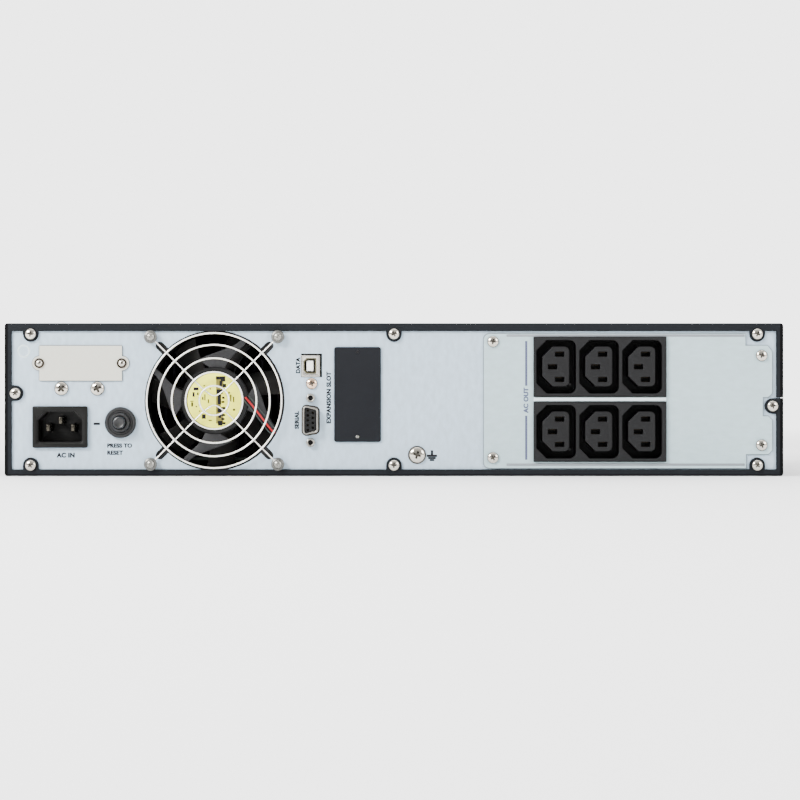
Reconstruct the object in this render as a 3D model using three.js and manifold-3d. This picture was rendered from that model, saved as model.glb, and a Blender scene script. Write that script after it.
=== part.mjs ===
// A rack-mount uninterruptible power supply, two rack units high. Sizes are in millimetres.
// +Y points out of the rear panel, -Y out of the front bezel, +Z is up.
// The origin is the centre of the base of the outer box.
import * as THREE from 'three';
import { mergeVertices } from 'three/addons/utils/BufferGeometryUtils.js';
import Module from 'manifold-3d';

const wasm = await Module();
wasm.setup();

// ---- Driving dimensions ----

const WIDTH = 438;
const HEIGHT = 86;
const GAP = 0.3; // clearance between pieces that touch
const SHEET = 1.2; // thickness of the steel sheets

const REAR = 209; // outer face of the shells' rear flange
const FRONT = -192; // front edge of the shells
const REAR_TIP = 218; // rearmost point, the breaker's button
const FRONT_TIP = -218; // foremost point, the push buttons
const BEZEL_FACE = -217.2;
const BEZEL_WALL = 3;

const PANEL_FACE = REAR - SHEET - GAP;
const PANEL_BACK = PANEL_FACE - SHEET;
const PLATE_BACK = PANEL_FACE + GAP; // plates that lie on the rear panel
const PLATE_FACE = PLATE_BACK + 1;

const CORNER = 1.5; // outer corner radius of the shells
const FLANGE = { side: 4, lower: 3.8, upper: 4.5 }; // widths of the shells' flange bands
const TAB_INSET = 6.1; // screw centre from the outer edge
const TAB_RADIUS = 4.4;
const SEAM_PLUS = 40.9; // height of the seam on the +X side
const SEAM_MINUS = 44.1; // height of the seam on the -X side
const BRACKET_HOLES = { y: [-176, -148], z: 22, radius: 2 };

const FAN = { x: 101, z: 42.5, size: 80, depth: 25.4, pitch: 71.5, hub: 19, swirl: 35 };
const FAN_BORE = 38;
const FAN_CUT = 39.5; // hole in the rear panel
const GUARD_RINGS = [38.3, 31.3, 23.8, 16, 8.3];
const GUARD_WIRE = 1.5;
const GUARD_Y = REAR + GAP + GUARD_WIRE / 2; // the guard stands clear of the flange bands

const INLET = { x: 187.8, z: 27.6, width: 31, height: 23.4, body: [27.6, 20.1], pitch: 14 };
const BREAKER = { x: 153.8, z: 30.1, nut: 8.75, bush: 5.4, button: 3.4 };
const BLANK = { x: 176.3, z: 63.5, width: 46.4, height: 19.6, pitch: 46.4, ear: 4 };
const USB = { x: 46.9, z: 62, width: 10.3, height: 12.1, opening: 47.3 };
const SERIAL = { x: 46.9, z: 31.4, width: 8.6, height: 16.9 };
const SLOT = { x: 20.5, z: 45.9, width: 26.3, height: 53.4 };
const EARTH = { x: -13, z: 11.9 };

const OUTLETS = {
  x: -115.8, zs: [61.45, 24.95], width: 74.8, height: 34, pitch: 24.15, middle: -115.3,
};
const OUTLET_FACE = PLATE_FACE + 2.2;
const PLATE_SCREWS = [[-55.7, 75.6], [-55.7, 10.3], [-206.9, 67.7], [-206.9, 17.3]];

const BAY = { x0: -210.3, x1: -51.7, z0: 4.2, z1: 76 }; // opening for the battery drawer
const FASCIA = { x0: -213.5, x1: -45.5, z0: 4.2, z1: 82.3 }; // opening in the bezel
const BATTERY = { width: 151, height: 65, length: 94, pitch: 101 };
const DISPLAY = { x: 136, z: 52, width: 72, height: 36 };
const BUTTONS = { xs: [112, 136, 160], z: 19, radius: 5.5 };

// ---- Colours ----

const paint = (color, roughness, metalness = 0) =>
  new THREE.MeshStandardMaterial({ color, roughness, metalness });
const DARK_STEEL = () => paint(0x3e4044, 0.55, 0.3);
const GALVANISED = () => paint(0xccd4d8, 0.45, 0.6);
const BRIGHT = () => paint(0xd8dadb, 0.3, 0.9);
const BLACK_PLASTIC = () => paint(0x1f1f20, 0.5);
const GREY_PLASTIC = () => paint(0x3d3e40, 0.5);
const BOARD_GREEN = () => paint(0x1f5a36, 0.5);

// ---- Shape helpers ----

// A closed outline in X and Z; each corner is [x, z, radius], and the radius may be left out.
function outline(corners, steps = 3) {
  const points = [];
  corners.forEach(([x, z, radius = 0], i) => {
    const corner = new THREE.Vector2(x, z);
    if (radius === 0) {
      points.push(corner);
      return;
    }
    const before = new THREE.Vector2(...corners.at(i - 1)).sub(corner).normalize();
    const after = new THREE.Vector2(...corners[(i + 1) % corners.length]).sub(corner).normalize();
    const half = Math.acos(before.dot(after)) / 2;
    const setback = radius / Math.tan(half);
    const toCentre = before.clone().add(after).setLength(radius / Math.sin(half));
    const centre = corner.clone().add(toCentre);
    const start = corner.clone().addScaledVector(before, setback).sub(centre);
    const sweep = Math.sign(before.cross(after)) * (2 * half - Math.PI);
    for (let k = 0; k <= steps; k += 1) {
      points.push(start.clone().rotateAround(new THREE.Vector2(), (sweep * k) / steps).add(centre));
    }
  });
  return new THREE.Shape(points);
}

function rectangle(x, z, width, height, radius = 0) {
  const [w, h] = [width / 2, height / 2];
  return outline([
    [x - w, z - h, radius], [x + w, z - h, radius], [x + w, z + h, radius], [x - w, z + h, radius],
  ]);
}

// Triangles that lose a corner when the shared vertices merge are dropped.
function solid(geometry) {
  const bare = geometry.clone();
  bare.deleteAttribute('normal');
  bare.deleteAttribute('uv');
  const merged = mergeVertices(bare, 1e-4);
  const index = Array.from(merged.index.array);
  const triangles = [];
  for (let i = 0; i < index.length; i += 3) {
    const [a, b, c] = index.slice(i, i + 3);
    if (a !== b && b !== c && c !== a) triangles.push(a, b, c);
  }
  const vertProperties = new Float32Array(merged.attributes.position.array);
  return new wasm.Manifold(
    new wasm.Mesh({ numProp: 3, vertProperties, triVerts: new Uint32Array(triangles) }),
  );
}

function slab(shape, y0, y1) {
  const geometry = new THREE.ExtrudeGeometry(shape, { depth: y1 - y0, bevelEnabled: false });
  geometry.rotateX(Math.PI / 2);
  geometry.translate(0, y1, 0);
  return solid(geometry);
}

function block(x0, x1, y0, y1, z0, z1) {
  const geometry = new THREE.BoxGeometry(x1 - x0, y1 - y0, z1 - z0);
  geometry.translate((x0 + x1) / 2, (y0 + y1) / 2, (z0 + z1) / 2);
  return solid(geometry);
}

function rod(x, z, radius, y0, y1, sides = 12) {
  const geometry = new THREE.CylinderGeometry(radius, radius, y1 - y0, sides);
  geometry.translate(x, (y0 + y1) / 2, z);
  return solid(geometry);
}

// A turned piece about an axis along Y; the profile is a list of [radius, y].
function turned(x, z, profile, sides = 12) {
  const points = profile.map(([radius, y]) => new THREE.Vector2(radius, y));
  const geometry = new THREE.LatheGeometry(points, sides);
  geometry.translate(x, 0, z);
  return solid(geometry);
}

const join = (solids) => solids.reduce((whole, piece) => whole.add(piece));
const cut = (whole, solids) => solids.reduce((rest, piece) => rest.subtract(piece), whole);

const group = new THREE.Group();

function add(name, whole, material) {
  const { vertProperties, triVerts } = whole.getMesh();
  const geometry = new THREE.BufferGeometry();
  geometry.setAttribute('position', new THREE.BufferAttribute(new Float32Array(vertProperties), 3));
  geometry.setIndex(new THREE.BufferAttribute(new Uint32Array(triVerts), 1));
  geometry.computeVertexNormals();
  const mesh = new THREE.Mesh(geometry, material);
  mesh.name = name;
  group.add(mesh);
  return mesh;
}

// ---- Shells and cover screws ----

const LOWER_TABS = [[WIDTH / 2 - 14.7, TAB_INSET], [0, TAB_INSET], [14.7 - WIDTH / 2, TAB_INSET]];
const LOWER_SIDE_TAB = [TAB_INSET - WIDTH / 2, 39.4];
const UPPER_SIDE_TAB = [TAB_INSET - WIDTH / 2, HEIGHT - 46.6];

// One C-shaped shell as the lower one lies. The seams are the heights of its two side walls.
function shell(seamPlus, seamMinus, sideTab, band) {
  const half = WIDTH / 2;
  const wallOutline = (inset) => outline([
    [half - inset, inset, CORNER], [half - inset, seamPlus],
    [inset - half, seamMinus], [inset - half, inset, CORNER],
  ]);
  const outer = slab(wallOutline(0), FRONT, REAR);
  const hollow = block(SHEET - half, half - SHEET, FRONT + SHEET, REAR - SHEET, SHEET, HEIGHT);
  const mouth = block(FLANGE.side - half, half - FLANGE.side, FRONT - 1, REAR + 1, band, HEIGHT);
  const tabs = LOWER_TABS.map(([x, z]) => join([
    rod(x, z, TAB_RADIUS, REAR - SHEET, REAR, 20),
    block(x - TAB_RADIUS, x + TAB_RADIUS, REAR - SHEET, REAR, 1, z),
  ]));
  const [sideX, sideZ] = sideTab;
  tabs.push(rod(sideX, sideZ, TAB_RADIUS, REAR - SHEET, REAR, 20));
  tabs.push(block(1 - half, sideX, REAR - SHEET, REAR, sideZ - TAB_RADIUS, sideZ + TAB_RADIUS));
  const holes = [...LOWER_TABS, sideTab].map(([x, z]) => rod(x, z, 1.9, REAR - 3, REAR + 1, 8));
  const bracketHoles = BRACKET_HOLES.y.map((y) => {
    const geometry = new THREE.CylinderGeometry(BRACKET_HOLES.radius, BRACKET_HOLES.radius, 2 * WIDTH, 12);
    geometry.rotateZ(Math.PI / 2);
    geometry.translate(0, y, BRACKET_HOLES.z);
    return solid(geometry);
  });
  const ceiling = block(-half - 1, half + 1, FRONT - 1, REAR + 1, Math.max(seamPlus, seamMinus), HEIGHT + 9);
  const body = cut(outer, [hollow, mouth]);
  return cut(join([body, ...tabs]), [...holes, ...bracketHoles, ceiling]);
}

const BOARD = { x0: -36, x1: 212, y0: -150, y1: 165, z: 8, thickness: 1.6 };
const BOSSES = [[-28, -140], [204, -140], [-28, 155], [204, 155], [88, -140], [30, 155]];

function bosses() {
  return BOSSES.map(([x, y]) => {
    const geometry = new THREE.CylinderGeometry(3, 4, BOARD.z - GAP - SHEET + 0.2, 8);
    geometry.rotateX(Math.PI / 2);
    geometry.translate(x, y, (BOARD.z - GAP + SHEET - 0.2) / 2);
    return solid(geometry);
  });
}

function addShells() {
  const lower = shell(SEAM_PLUS - GAP / 2, SEAM_MINUS - GAP / 2, LOWER_SIDE_TAB, FLANGE.lower);
  add('lower_shell', join([lower, ...bosses()]), DARK_STEEL());
  const upper = shell(
    HEIGHT - SEAM_MINUS - GAP / 2, HEIGHT - SEAM_PLUS - GAP / 2, UPPER_SIDE_TAB, FLANGE.upper,
  );
  add('upper_shell', upper.rotate([0, 180, 0]).translate([0, 0, HEIGHT]), DARK_STEEL());
}

const turnOver = ([x, z]) => [-x, HEIGHT - z];
const COVER_SCREWS = [
  ...LOWER_TABS, LOWER_SIDE_TAB, ...LOWER_TABS.map(turnOver), turnOver(UPPER_SIDE_TAB),
];

function screw(x, z, headRadius, headHeight, seat, shankRadius, tip) {
  const rim = seat + headHeight * 0.45;
  return turned(x, z, [
    [0, tip], [shankRadius, tip + 0.6], [shankRadius, seat], [headRadius, seat],
    [headRadius, rim], [headRadius * 0.6, seat + headHeight], [0, seat + headHeight],
  ]);
}

function addCoverScrews() {
  COVER_SCREWS.forEach(([x, z], i) => {
    add(`cover_screw_${i + 1}`, screw(x, z, 3.25, 2, REAR + GAP, 1.5, REAR - 7), BRIGHT());
  });
}

// ---- Rear panel and the plates on it ----

const FAN_CORNERS = [[-1, -1], [1, -1], [1, 1], [-1, 1]].map(([i, k]) => [
  FAN.x + (i * FAN.pitch) / 2, FAN.z + (k * FAN.pitch) / 2,
]);

function fanCut() {
  const slotWidth = 4.8;
  const slotEnd = 46 - slotWidth / 2;
  const slots = FAN_CORNERS.map(([x, z]) => {
    const angle = Math.atan2(z - FAN.z, x - FAN.x);
    const geometry = new THREE.BoxGeometry(slotEnd - 30, 8, slotWidth);
    geometry.translate((slotEnd + 30) / 2, PANEL_BACK, 0);
    geometry.rotateY(-angle);
    geometry.translate(FAN.x, 0, FAN.z);
    const [endX, endZ] = [FAN.x + slotEnd * Math.cos(angle), FAN.z + slotEnd * Math.sin(angle)];
    return join([solid(geometry), rod(endX, endZ, slotWidth / 2, PANEL_BACK - 4, PANEL_BACK + 4)]);
  });
  return join([rod(FAN.x, FAN.z, FAN_CUT, PANEL_BACK - 3, PANEL_FACE + 3, 48), ...slots]);
}

// The serial socket's outline stands upright, with its wide side at +X.
function serialOutline(margin) {
  const [w, wide] = [SERIAL.width / 2 + margin, SERIAL.height / 2 + margin];
  const narrow = wide - 1.7;
  const radius = 2 + margin;
  return outline([
    [SERIAL.x - w, SERIAL.z - narrow, radius], [SERIAL.x + w, SERIAL.z - wide, radius],
    [SERIAL.x + w, SERIAL.z + wide, radius], [SERIAL.x - w, SERIAL.z + narrow, radius],
  ]);
}

function addRearPanel() {
  const [y0, y1] = [PANEL_BACK - 2, PANEL_FACE + 2];
  const margin = SHEET + GAP;
  const sheet = slab(
    rectangle(0, HEIGHT / 2, WIDTH - 2 * margin, HEIGHT - 2 * margin), PANEL_BACK, PANEL_FACE,
  );
  const holes = [...COVER_SCREWS, ...PLATE_SCREWS, [EARTH.x, EARTH.z]];
  add('rear_panel', cut(sheet, [
    fanCut(),
    slab(rectangle(BLANK.x, BLANK.z, 39, 12), y0, y1),
    slab(rectangle(INLET.x, INLET.z, INLET.body[0] + 0.6, INLET.body[1] + 0.6), y0, y1),
    rod(BREAKER.x, BREAKER.z, BREAKER.bush + 0.5, y0, y1, 24),
    slab(rectangle(USB.x - 0.5, USB.z + 0.3, USB.width + 1.6, USB.height + 1.2), y0, y1),
    slab(serialOutline(0.5), y0, y1),
    slab(rectangle(SLOT.x, SLOT.z, 21, 42), y0, y1),
    slab(rectangle(OUTLETS.x, 43.2, 78, 74), y0, y1),
    ...holes.map(([x, z]) => rod(x, z, 1.9, y0, y1, 8)),
    ...FAN_CORNERS.map(([x, z]) => rod(x, z, 2, y0, y1, 8)),
  ]), GALVANISED());
}

// The outlet plate steps back round the shells' three screw tabs on its -X side.
function addOutletPlate() {
  const plate = slab(outline([
    [-50.6, 4.5, 3], [-50.6, 80, 3], [-197.7, 80], [-197.7, 73.4], [-210.2, 73.4], [-212.7, 70.3],
    [-212.7, 46.6], [-210.5, 44.4], [-207.5, 44.4], [-207.5, 33.7], [-210.5, 33.7], [-212.7, 31.6],
    [-212.7, 14.5], [-210.6, 12.3], [-198, 12.3], [-198, 4.5],
  ]), PLATE_BACK, PLATE_FACE);
  const windows = OUTLETS.zs.map((z) => slab(
    rectangle(OUTLETS.x, z, OUTLETS.width - 0.8, OUTLETS.height - 0.8), PLATE_BACK - 1, PLATE_FACE + 1,
  ));
  const holes = PLATE_SCREWS.map(([x, z]) => rod(x, z, 1.9, PLATE_BACK - 1, PLATE_FACE + 1, 8));
  add('outlet_plate', cut(plate, [...windows, ...holes]), GALVANISED());
}

function addCovers() {
  const cover = slab(rectangle(SLOT.x, SLOT.z, SLOT.width, SLOT.height, 1.2), PLATE_BACK, PLATE_FACE);
  add('option_slot_cover', cover, paint(0x37383c, 0.5, 0.3));
  const ears = [-1, 1].map((side) => rod(
    BLANK.x + (side * BLANK.pitch) / 2, BLANK.z, BLANK.ear, PLATE_BACK, PLATE_FACE, 20,
  ));
  const plate = slab(rectangle(BLANK.x, BLANK.z, BLANK.width, BLANK.height), PLATE_BACK, PLATE_FACE);
  add('blanking_plate', join([plate, ...ears]), paint(0xd8d7d2, 0.6, 0.1));
}

// ---- Mains inlet, outlets and breaker ----

function inletRecess(margin, y0, y1) {
  const [w, h, chamfer] = [12.3 + margin, 8.4 + margin, 4.6 + margin / 2];
  return slab(outline([
    [INLET.x - w, INLET.z - h, 1.5], [INLET.x + w, INLET.z - h, 1.5],
    [INLET.x + w, INLET.z + h - chamfer], [INLET.x + w - chamfer, INLET.z + h],
    [INLET.x - w + chamfer, INLET.z + h], [INLET.x - w, INLET.z + h - chamfer],
  ]), y0, y1);
}

function addInlet() {
  const face = PLATE_BACK + 2.4;
  const floor = face - 17;
  const pins = {
    line: [INLET.x + INLET.pitch / 2, INLET.z - 0.5],
    neutral: [INLET.x - INLET.pitch / 2, INLET.z - 0.5],
    earth: [INLET.x, INLET.z + 3.7],
  };
  const flange = slab(rectangle(INLET.x, INLET.z, INLET.width, INLET.height, 1.5), PLATE_BACK, face);
  const body = slab(rectangle(INLET.x, INLET.z, ...INLET.body), floor - 5, PLATE_BACK + 0.5);
  const slots = Object.values(pins).map(([x, z]) => slab(
    rectangle(x, z, 2 + 2 * GAP, 4 + 2 * GAP), floor - 7, floor + 1,
  ));
  add('inlet_housing', cut(join([flange, body]), [
    inletRecess(0, floor, face + 1), ...slots,
  ]), BLACK_PLASTIC());
  Object.entries(pins).forEach(([name, [x, z]]) => {
    const blade = slab(rectangle(x, z, 2, 4), floor - 12, face - 2.5);
    add(`inlet_pin_${name}`, blade, BRIGHT());
  });
}

// One socket seen from behind: chamfers at the earth side, which is +X.
function socketOutline(x, z, width, height, chamfer, radius) {
  const [w, h] = [width / 2, height / 2];
  return outline([
    [x - w, z - h, radius], [x + w - chamfer, z - h], [x + w, z - h + chamfer],
    [x + w, z + h - chamfer], [x + w - chamfer, z + h], [x - w, z + h, radius],
  ]);
}

function addOutlets() {
  const floor = OUTLET_FACE - 17;
  const slotFloor = floor + 2;
  OUTLETS.zs.forEach((z, i) => {
    const lip = slab(
      rectangle(OUTLETS.x, z, OUTLETS.width, OUTLETS.height, 0.8), PLATE_FACE + GAP, OUTLET_FACE,
    );
    const body = slab(
      rectangle(OUTLETS.x, z, OUTLETS.width - 1.4, OUTLETS.height - 1.4), floor - 6, PLATE_FACE + 1,
    );
    const recesses = [-1, 0, 1].map((column) => {
      const x = OUTLETS.middle + column * OUTLETS.pitch;
      const moat = slab(socketOutline(x, z, 22.3, 30.1, 5.7, 3.6), floor, OUTLET_FACE + 1);
      const core = slab(socketOutline(x, z, 15.1, 22.8, 5.5, 2.5), floor - 1, OUTLET_FACE - 0.6);
      const slots = [[-2, 7.1], [-2, -7.1], [2, 0]].map(([dx, dz]) => slab(
        rectangle(x + dx, z + dz, 5.2, 2.8), slotFloor, OUTLET_FACE + 1,
      ));
      return join([moat.subtract(core), ...slots]);
    });
    add(['outlet_block_upper', 'outlet_block_lower'][i], cut(join([lip, body]), recesses), GREY_PLASTIC());
  });
}

function addBreaker() {
  const { x, z, nut, bush, button } = BREAKER;
  const housing = block(x - 8, x + 8, PANEL_BACK - GAP - 30, PANEL_BACK - GAP, z - 14, z + 14);
  const neck = rod(x, z, bush, PANEL_BACK - 1, REAR_TIP - 3.5, 24);
  const bore = rod(x, z, button + 0.35, PANEL_BACK - 18, REAR_TIP, 24);
  add('breaker_body', cut(join([housing, neck]), [bore]), GREY_PLASTIC());
  const ring = rod(x, z, nut, PLATE_BACK, PLATE_BACK + 3, 24);
  add('breaker_nut', cut(ring, [rod(x, z, bush + GAP, PLATE_BACK - 1, PLATE_BACK + 4, 24)]), GREY_PLASTIC());
  add('breaker_button', rod(x, z, button, PANEL_BACK - 12, REAR_TIP, 24), BLACK_PLASTIC());
}

// ---- Fan ----

const FAN_REAR = PANEL_BACK - GAP;
const FAN_FRONT = FAN_REAR - FAN.depth;
const STRUT_FACE = FAN_REAR - 1.2;

// A point of the fan seen from behind: degrees run anticlockwise from the viewer's right.
const fanPoint = (radius, degrees) => {
  const angle = THREE.MathUtils.degToRad(degrees);
  return [FAN.x - radius * Math.cos(angle), FAN.z + radius * Math.sin(angle)];
};

function bar(from, to, width, y0, y1) {
  const [dx, dz] = [to[0] - from[0], to[1] - from[1]];
  const geometry = new THREE.BoxGeometry(Math.hypot(dx, dz), y1 - y0, width);
  geometry.rotateY(-Math.atan2(dz, dx));
  geometry.translate((from[0] + to[0]) / 2, (y0 + y1) / 2, (from[1] + to[1]) / 2);
  return solid(geometry);
}

const LEAD_NOTCH = [FAN.x - 40, FAN.z - 18.6];

function addFanFrame() {
  const square = rectangle(FAN.x, FAN.z, FAN.size, FAN.size, 4);
  const frame = slab(square, FAN_FRONT, FAN_REAR);
  const waist = slab(square, FAN_FRONT + 4, FAN_REAR - 4)
    .subtract(rod(FAN.x, FAN.z, 40.6, FAN_FRONT, FAN_REAR, 36));
  const bore = rod(FAN.x, FAN.z, FAN_BORE, FAN_FRONT - 1, FAN_REAR + 1, 36);
  const holes = FAN_CORNERS.map(([x, z]) => rod(x, z, 2.2, FAN_FRONT - 1, FAN_REAR + 1, 8));
  const [notchX, notchZ] = LEAD_NOTCH;
  const notch = block(notchX - 3, notchX + 8, FAN_REAR - 5, FAN_REAR + 1, notchZ - 2, notchZ + 2);
  const struts = [60, 150, 240, 330].map((degrees) => bar(
    fanPoint(FAN.hub - 1, degrees + FAN.swirl), fanPoint(FAN_BORE + 0.6, degrees), 2.6,
    STRUT_FACE - 2.6, STRUT_FACE,
  ));
  const hub = rod(FAN.x, FAN.z, FAN.hub, STRUT_FACE - 2.6, FAN_REAR - 0.4, 32);
  const bearing = rod(FAN.x, FAN.z, 4, FAN_FRONT + 9, STRUT_FACE - 1, 16);
  const bearingBore = rod(FAN.x, FAN.z, 1.9, FAN_FRONT + 8, STRUT_FACE - 1.4, 12);
  const ring = cut(frame, [waist, bore, ...holes, notch]);
  add('fan_frame', join([ring, ...struts, hub, bearing]).subtract(bearingBore), BLACK_PLASTIC());
}

function addFanRotor() {
  const [front, rear] = [FAN_FRONT + 1.4, STRUT_FACE - 2.6 - 1];
  const cup = turned(FAN.x, FAN.z, [
    [0, front], [16.5, front], [18.5, front + 1.5], [18.5, rear], [16.8, rear], [16.8, front + 3],
    [1.5, front + 3], [1.5, rear - 1], [0, rear - 1],
  ], 28);
  const blades = Array.from({ length: 7 }, (_, i) => {
    const geometry = new THREE.BoxGeometry(19, 1.5, 18);
    geometry.rotateX(THREE.MathUtils.degToRad(52));
    geometry.translate(18 + 19 / 2, (front + rear) / 2, 0);
    geometry.rotateY((i / 7) * 2 * Math.PI);
    geometry.translate(FAN.x, 0, FAN.z);
    return solid(geometry);
  });
  add('fan_rotor', join([cup, ...blades]), paint(0x27282a, 0.5));
}

// The guard: five rings on two bent wires, each wire running between two corner eyelets.
function addFanGuard() {
  const wire = GUARD_WIRE / 2;
  const ringY = GUARD_Y + GUARD_WIRE - 0.2;
  const hoop = (x, z, radius, y, sides) => turned(x, z, [
    [radius, y - wire], [radius + wire, y], [radius, y + wire], [radius - wire, y], [radius, y - wire],
  ], sides);
  const rings = GUARD_RINGS.map((radius) => hoop(FAN.x, FAN.z, radius, ringY, 24));
  const eyelets = FAN_CORNERS.map(([x, z]) => hoop(x, z, 2.9, GUARD_Y, 10));
  const section = new THREE.Shape([[wire, 0], [0, wire], [-wire, 0], [0, -wire]].map(
    ([a, b]) => new THREE.Vector2(a, b),
  ));
  const wires = [1, -1].map((side) => {
    const reach = FAN.pitch / 2 - 2;
    const route = [[-1, 1], [-0.35, 0.35], [-0.12, 0.13], [0, 0.08], [0.12, 0.13], [0.35, 0.35], [1, 1]];
    const points = route.map(([a, b]) => new THREE.Vector3(
      FAN.x + a * reach, GUARD_Y, FAN.z + side * b * reach,
    ));
    const extrudePath = new THREE.CatmullRomCurve3(points);
    return solid(new THREE.ExtrudeGeometry(section, { steps: 14, extrudePath, bevelEnabled: false }));
  });
  add('fan_guard', join([...wires, ...rings, ...eyelets]), paint(0xe6e4df, 0.3, 0.9));
}

function addFanLead() {
  const [notchX, notchZ] = LEAD_NOTCH;
  const points = [
    [FAN.x - 17.2, FAN_REAR + 0.9, FAN.z + 1.9], [FAN.x - 21, FAN_REAR + 0.7, FAN.z - 2.6],
    [FAN.x - 26.5, STRUT_FACE + 1.2, FAN.z - 9.8],
    [FAN.x - 33, STRUT_FACE + 1.2, notchZ + 0.8], [notchX + 2, STRUT_FACE - 0.4, notchZ],
    [notchX - 3, STRUT_FACE - 4, notchZ], [notchX - 3.5, FAN_FRONT + 8, notchZ],
    [notchX - 3, FAN_FRONT - 4, notchZ - 4], [notchX, FAN_FRONT - 14, 13],
    [notchX, BOARD.y1 - 10, 11.4],
  ].map(([x, y, z]) => new THREE.Vector3(x, y, z));
  const section = new THREE.Shape();
  section.absarc(0, 0, 0.9, 0, 2 * Math.PI, true);
  add('fan_lead', solid(new THREE.ExtrudeGeometry(section, {
    steps: 30, extrudePath: new THREE.CatmullRomCurve3(points), bevelEnabled: false, curveSegments: 3,
  })), paint(0xa02420, 0.5));
}

function addFanScrews() {
  const seat = GUARD_Y + GUARD_WIRE / 2 + GAP;
  FAN_CORNERS.forEach(([x, z], i) => {
    add(`fan_screw_${i + 1}`, screw(x, z, 3.7, 2.4, seat, 1.5, FAN_REAR - 8), BRIGHT());
  });
}

// ---- Signal ports, earth screw and the boards behind them ----

function usbOpening(margin, y0, y1) {
  const [w, h, chamfer] = [3.55 - margin, 4.4 - margin, 1.6];
  const x = USB.opening;
  return slab(outline([
    [x - w, USB.z - h], [x + w - chamfer, USB.z - h], [x + w, USB.z - h + chamfer],
    [x + w, USB.z + h - chamfer], [x + w - chamfer, USB.z + h], [x - w, USB.z + h],
  ]), y0, y1);
}

function addPorts() {
  const back = PANEL_FACE - 16;
  const usb = slab(rectangle(USB.x, USB.z, USB.width, USB.height), back, PANEL_FACE + 0.8);
  add('usb_shell', usb.subtract(usbOpening(0, back - 1, REAR)), BRIGHT());
  const tongue = slab(rectangle(USB.opening, USB.z, 3.6, 5.7), back, PANEL_FACE - 0.8);
  add('usb_tongue', join([usbOpening(GAP, back, back + 3), tongue]), paint(0xeeeeea, 0.5));

  const tip = PANEL_FACE + 5.8;
  const flange = slab(rectangle(SERIAL.x, SERIAL.z, 12.5, 31), PANEL_BACK - GAP - 1, PANEL_BACK - GAP);
  const sleeve = slab(serialOutline(0), PANEL_BACK - 1, tip);
  const bore = slab(serialOutline(-0.7), PANEL_BACK - 4, tip + 1);
  add('serial_shell', join([flange, sleeve]).subtract(bore), BRIGHT());
  add('serial_insert', slab(serialOutline(-1), PANEL_BACK - 9, tip - 0.4), BLACK_PLASTIC());

  add('earth_screw', screw(EARTH.x, EARTH.z, 4.65, 3, PLATE_BACK, 1.5, PANEL_BACK - 8), BRIGHT());
}

// ---- Boards and power parts inside ----

function heatsink(x) {
  const [width, z0, base, top, pitch, fin] = [36, 10, 15, 66, 4.9, 1.6];
  const corners = [[x, z0], [x + width, z0]];
  const count = Math.floor((width - fin) / pitch) + 1;
  for (let i = count - 1; i >= 0; i -= 1) {
    const left = x + i * pitch + (width - fin - (count - 1) * pitch) / 2;
    corners.push([left + fin, base], [left + fin, top], [left, top], [left, base]);
  }
  corners.splice(2, 0, [x + width, base]);
  corners.push([x, base]);
  return slab(outline(corners), -60, 140);
}

function upright(x, y, profile, sides) {
  const points = profile.map(([radius, z]) => new THREE.Vector2(radius, z));
  const geometry = new THREE.LatheGeometry(points, sides);
  geometry.rotateX(Math.PI / 2);
  geometry.translate(x, y, 0);
  return solid(geometry);
}

function addInsides() {
  const top = BOARD.z + BOARD.thickness;
  const sheet = block(BOARD.x0, BOARD.x1, BOARD.y0, BOARD.y1, BOARD.z, top);
  const terminals = block(150, 205, 145, 160, top - 0.1, top + 14);
  add('power_board', join([sheet, terminals]), BOARD_GREEN());
  [62, 104].forEach((x, i) => add(`heatsink_${i + 1}`, heatsink(x), paint(0xb4b8bb, 0.4, 0.9)));

  const core = block(160, 208, -30, 30, top + GAP, top + 48);
  const winding = block(166, 202, -38, 38, top + 6, top + 42);
  add('transformer', join([core, winding]), paint(0x4a3a22, 0.6));
  [70, 112].forEach((y, i) => add(`capacitor_${i + 1}`, upright(182, y, [
    [0, top + GAP], [15, top + GAP], [15, top + 42], [14.2, top + 43.5], [15, top + 45],
    [15, top + 50], [0, top + 50],
  ], 20), paint(0x20263c, 0.4)));

  const card = block(-22, -20.4, -120, 60, 12, 78);
  add('control_board', join([card, block(-20.5, -10, -60, -20, 30, 50)]), BOARD_GREEN());
  const ports = block(37.4, 39, 150, PANEL_BACK - 2, 14, 76);
  add('comms_board', join([ports, block(30, 37.5, 156, 168, 40, 60)]), BOARD_GREEN());
}

// ---- Front: bulkhead, bezel, display and buttons ----

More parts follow.
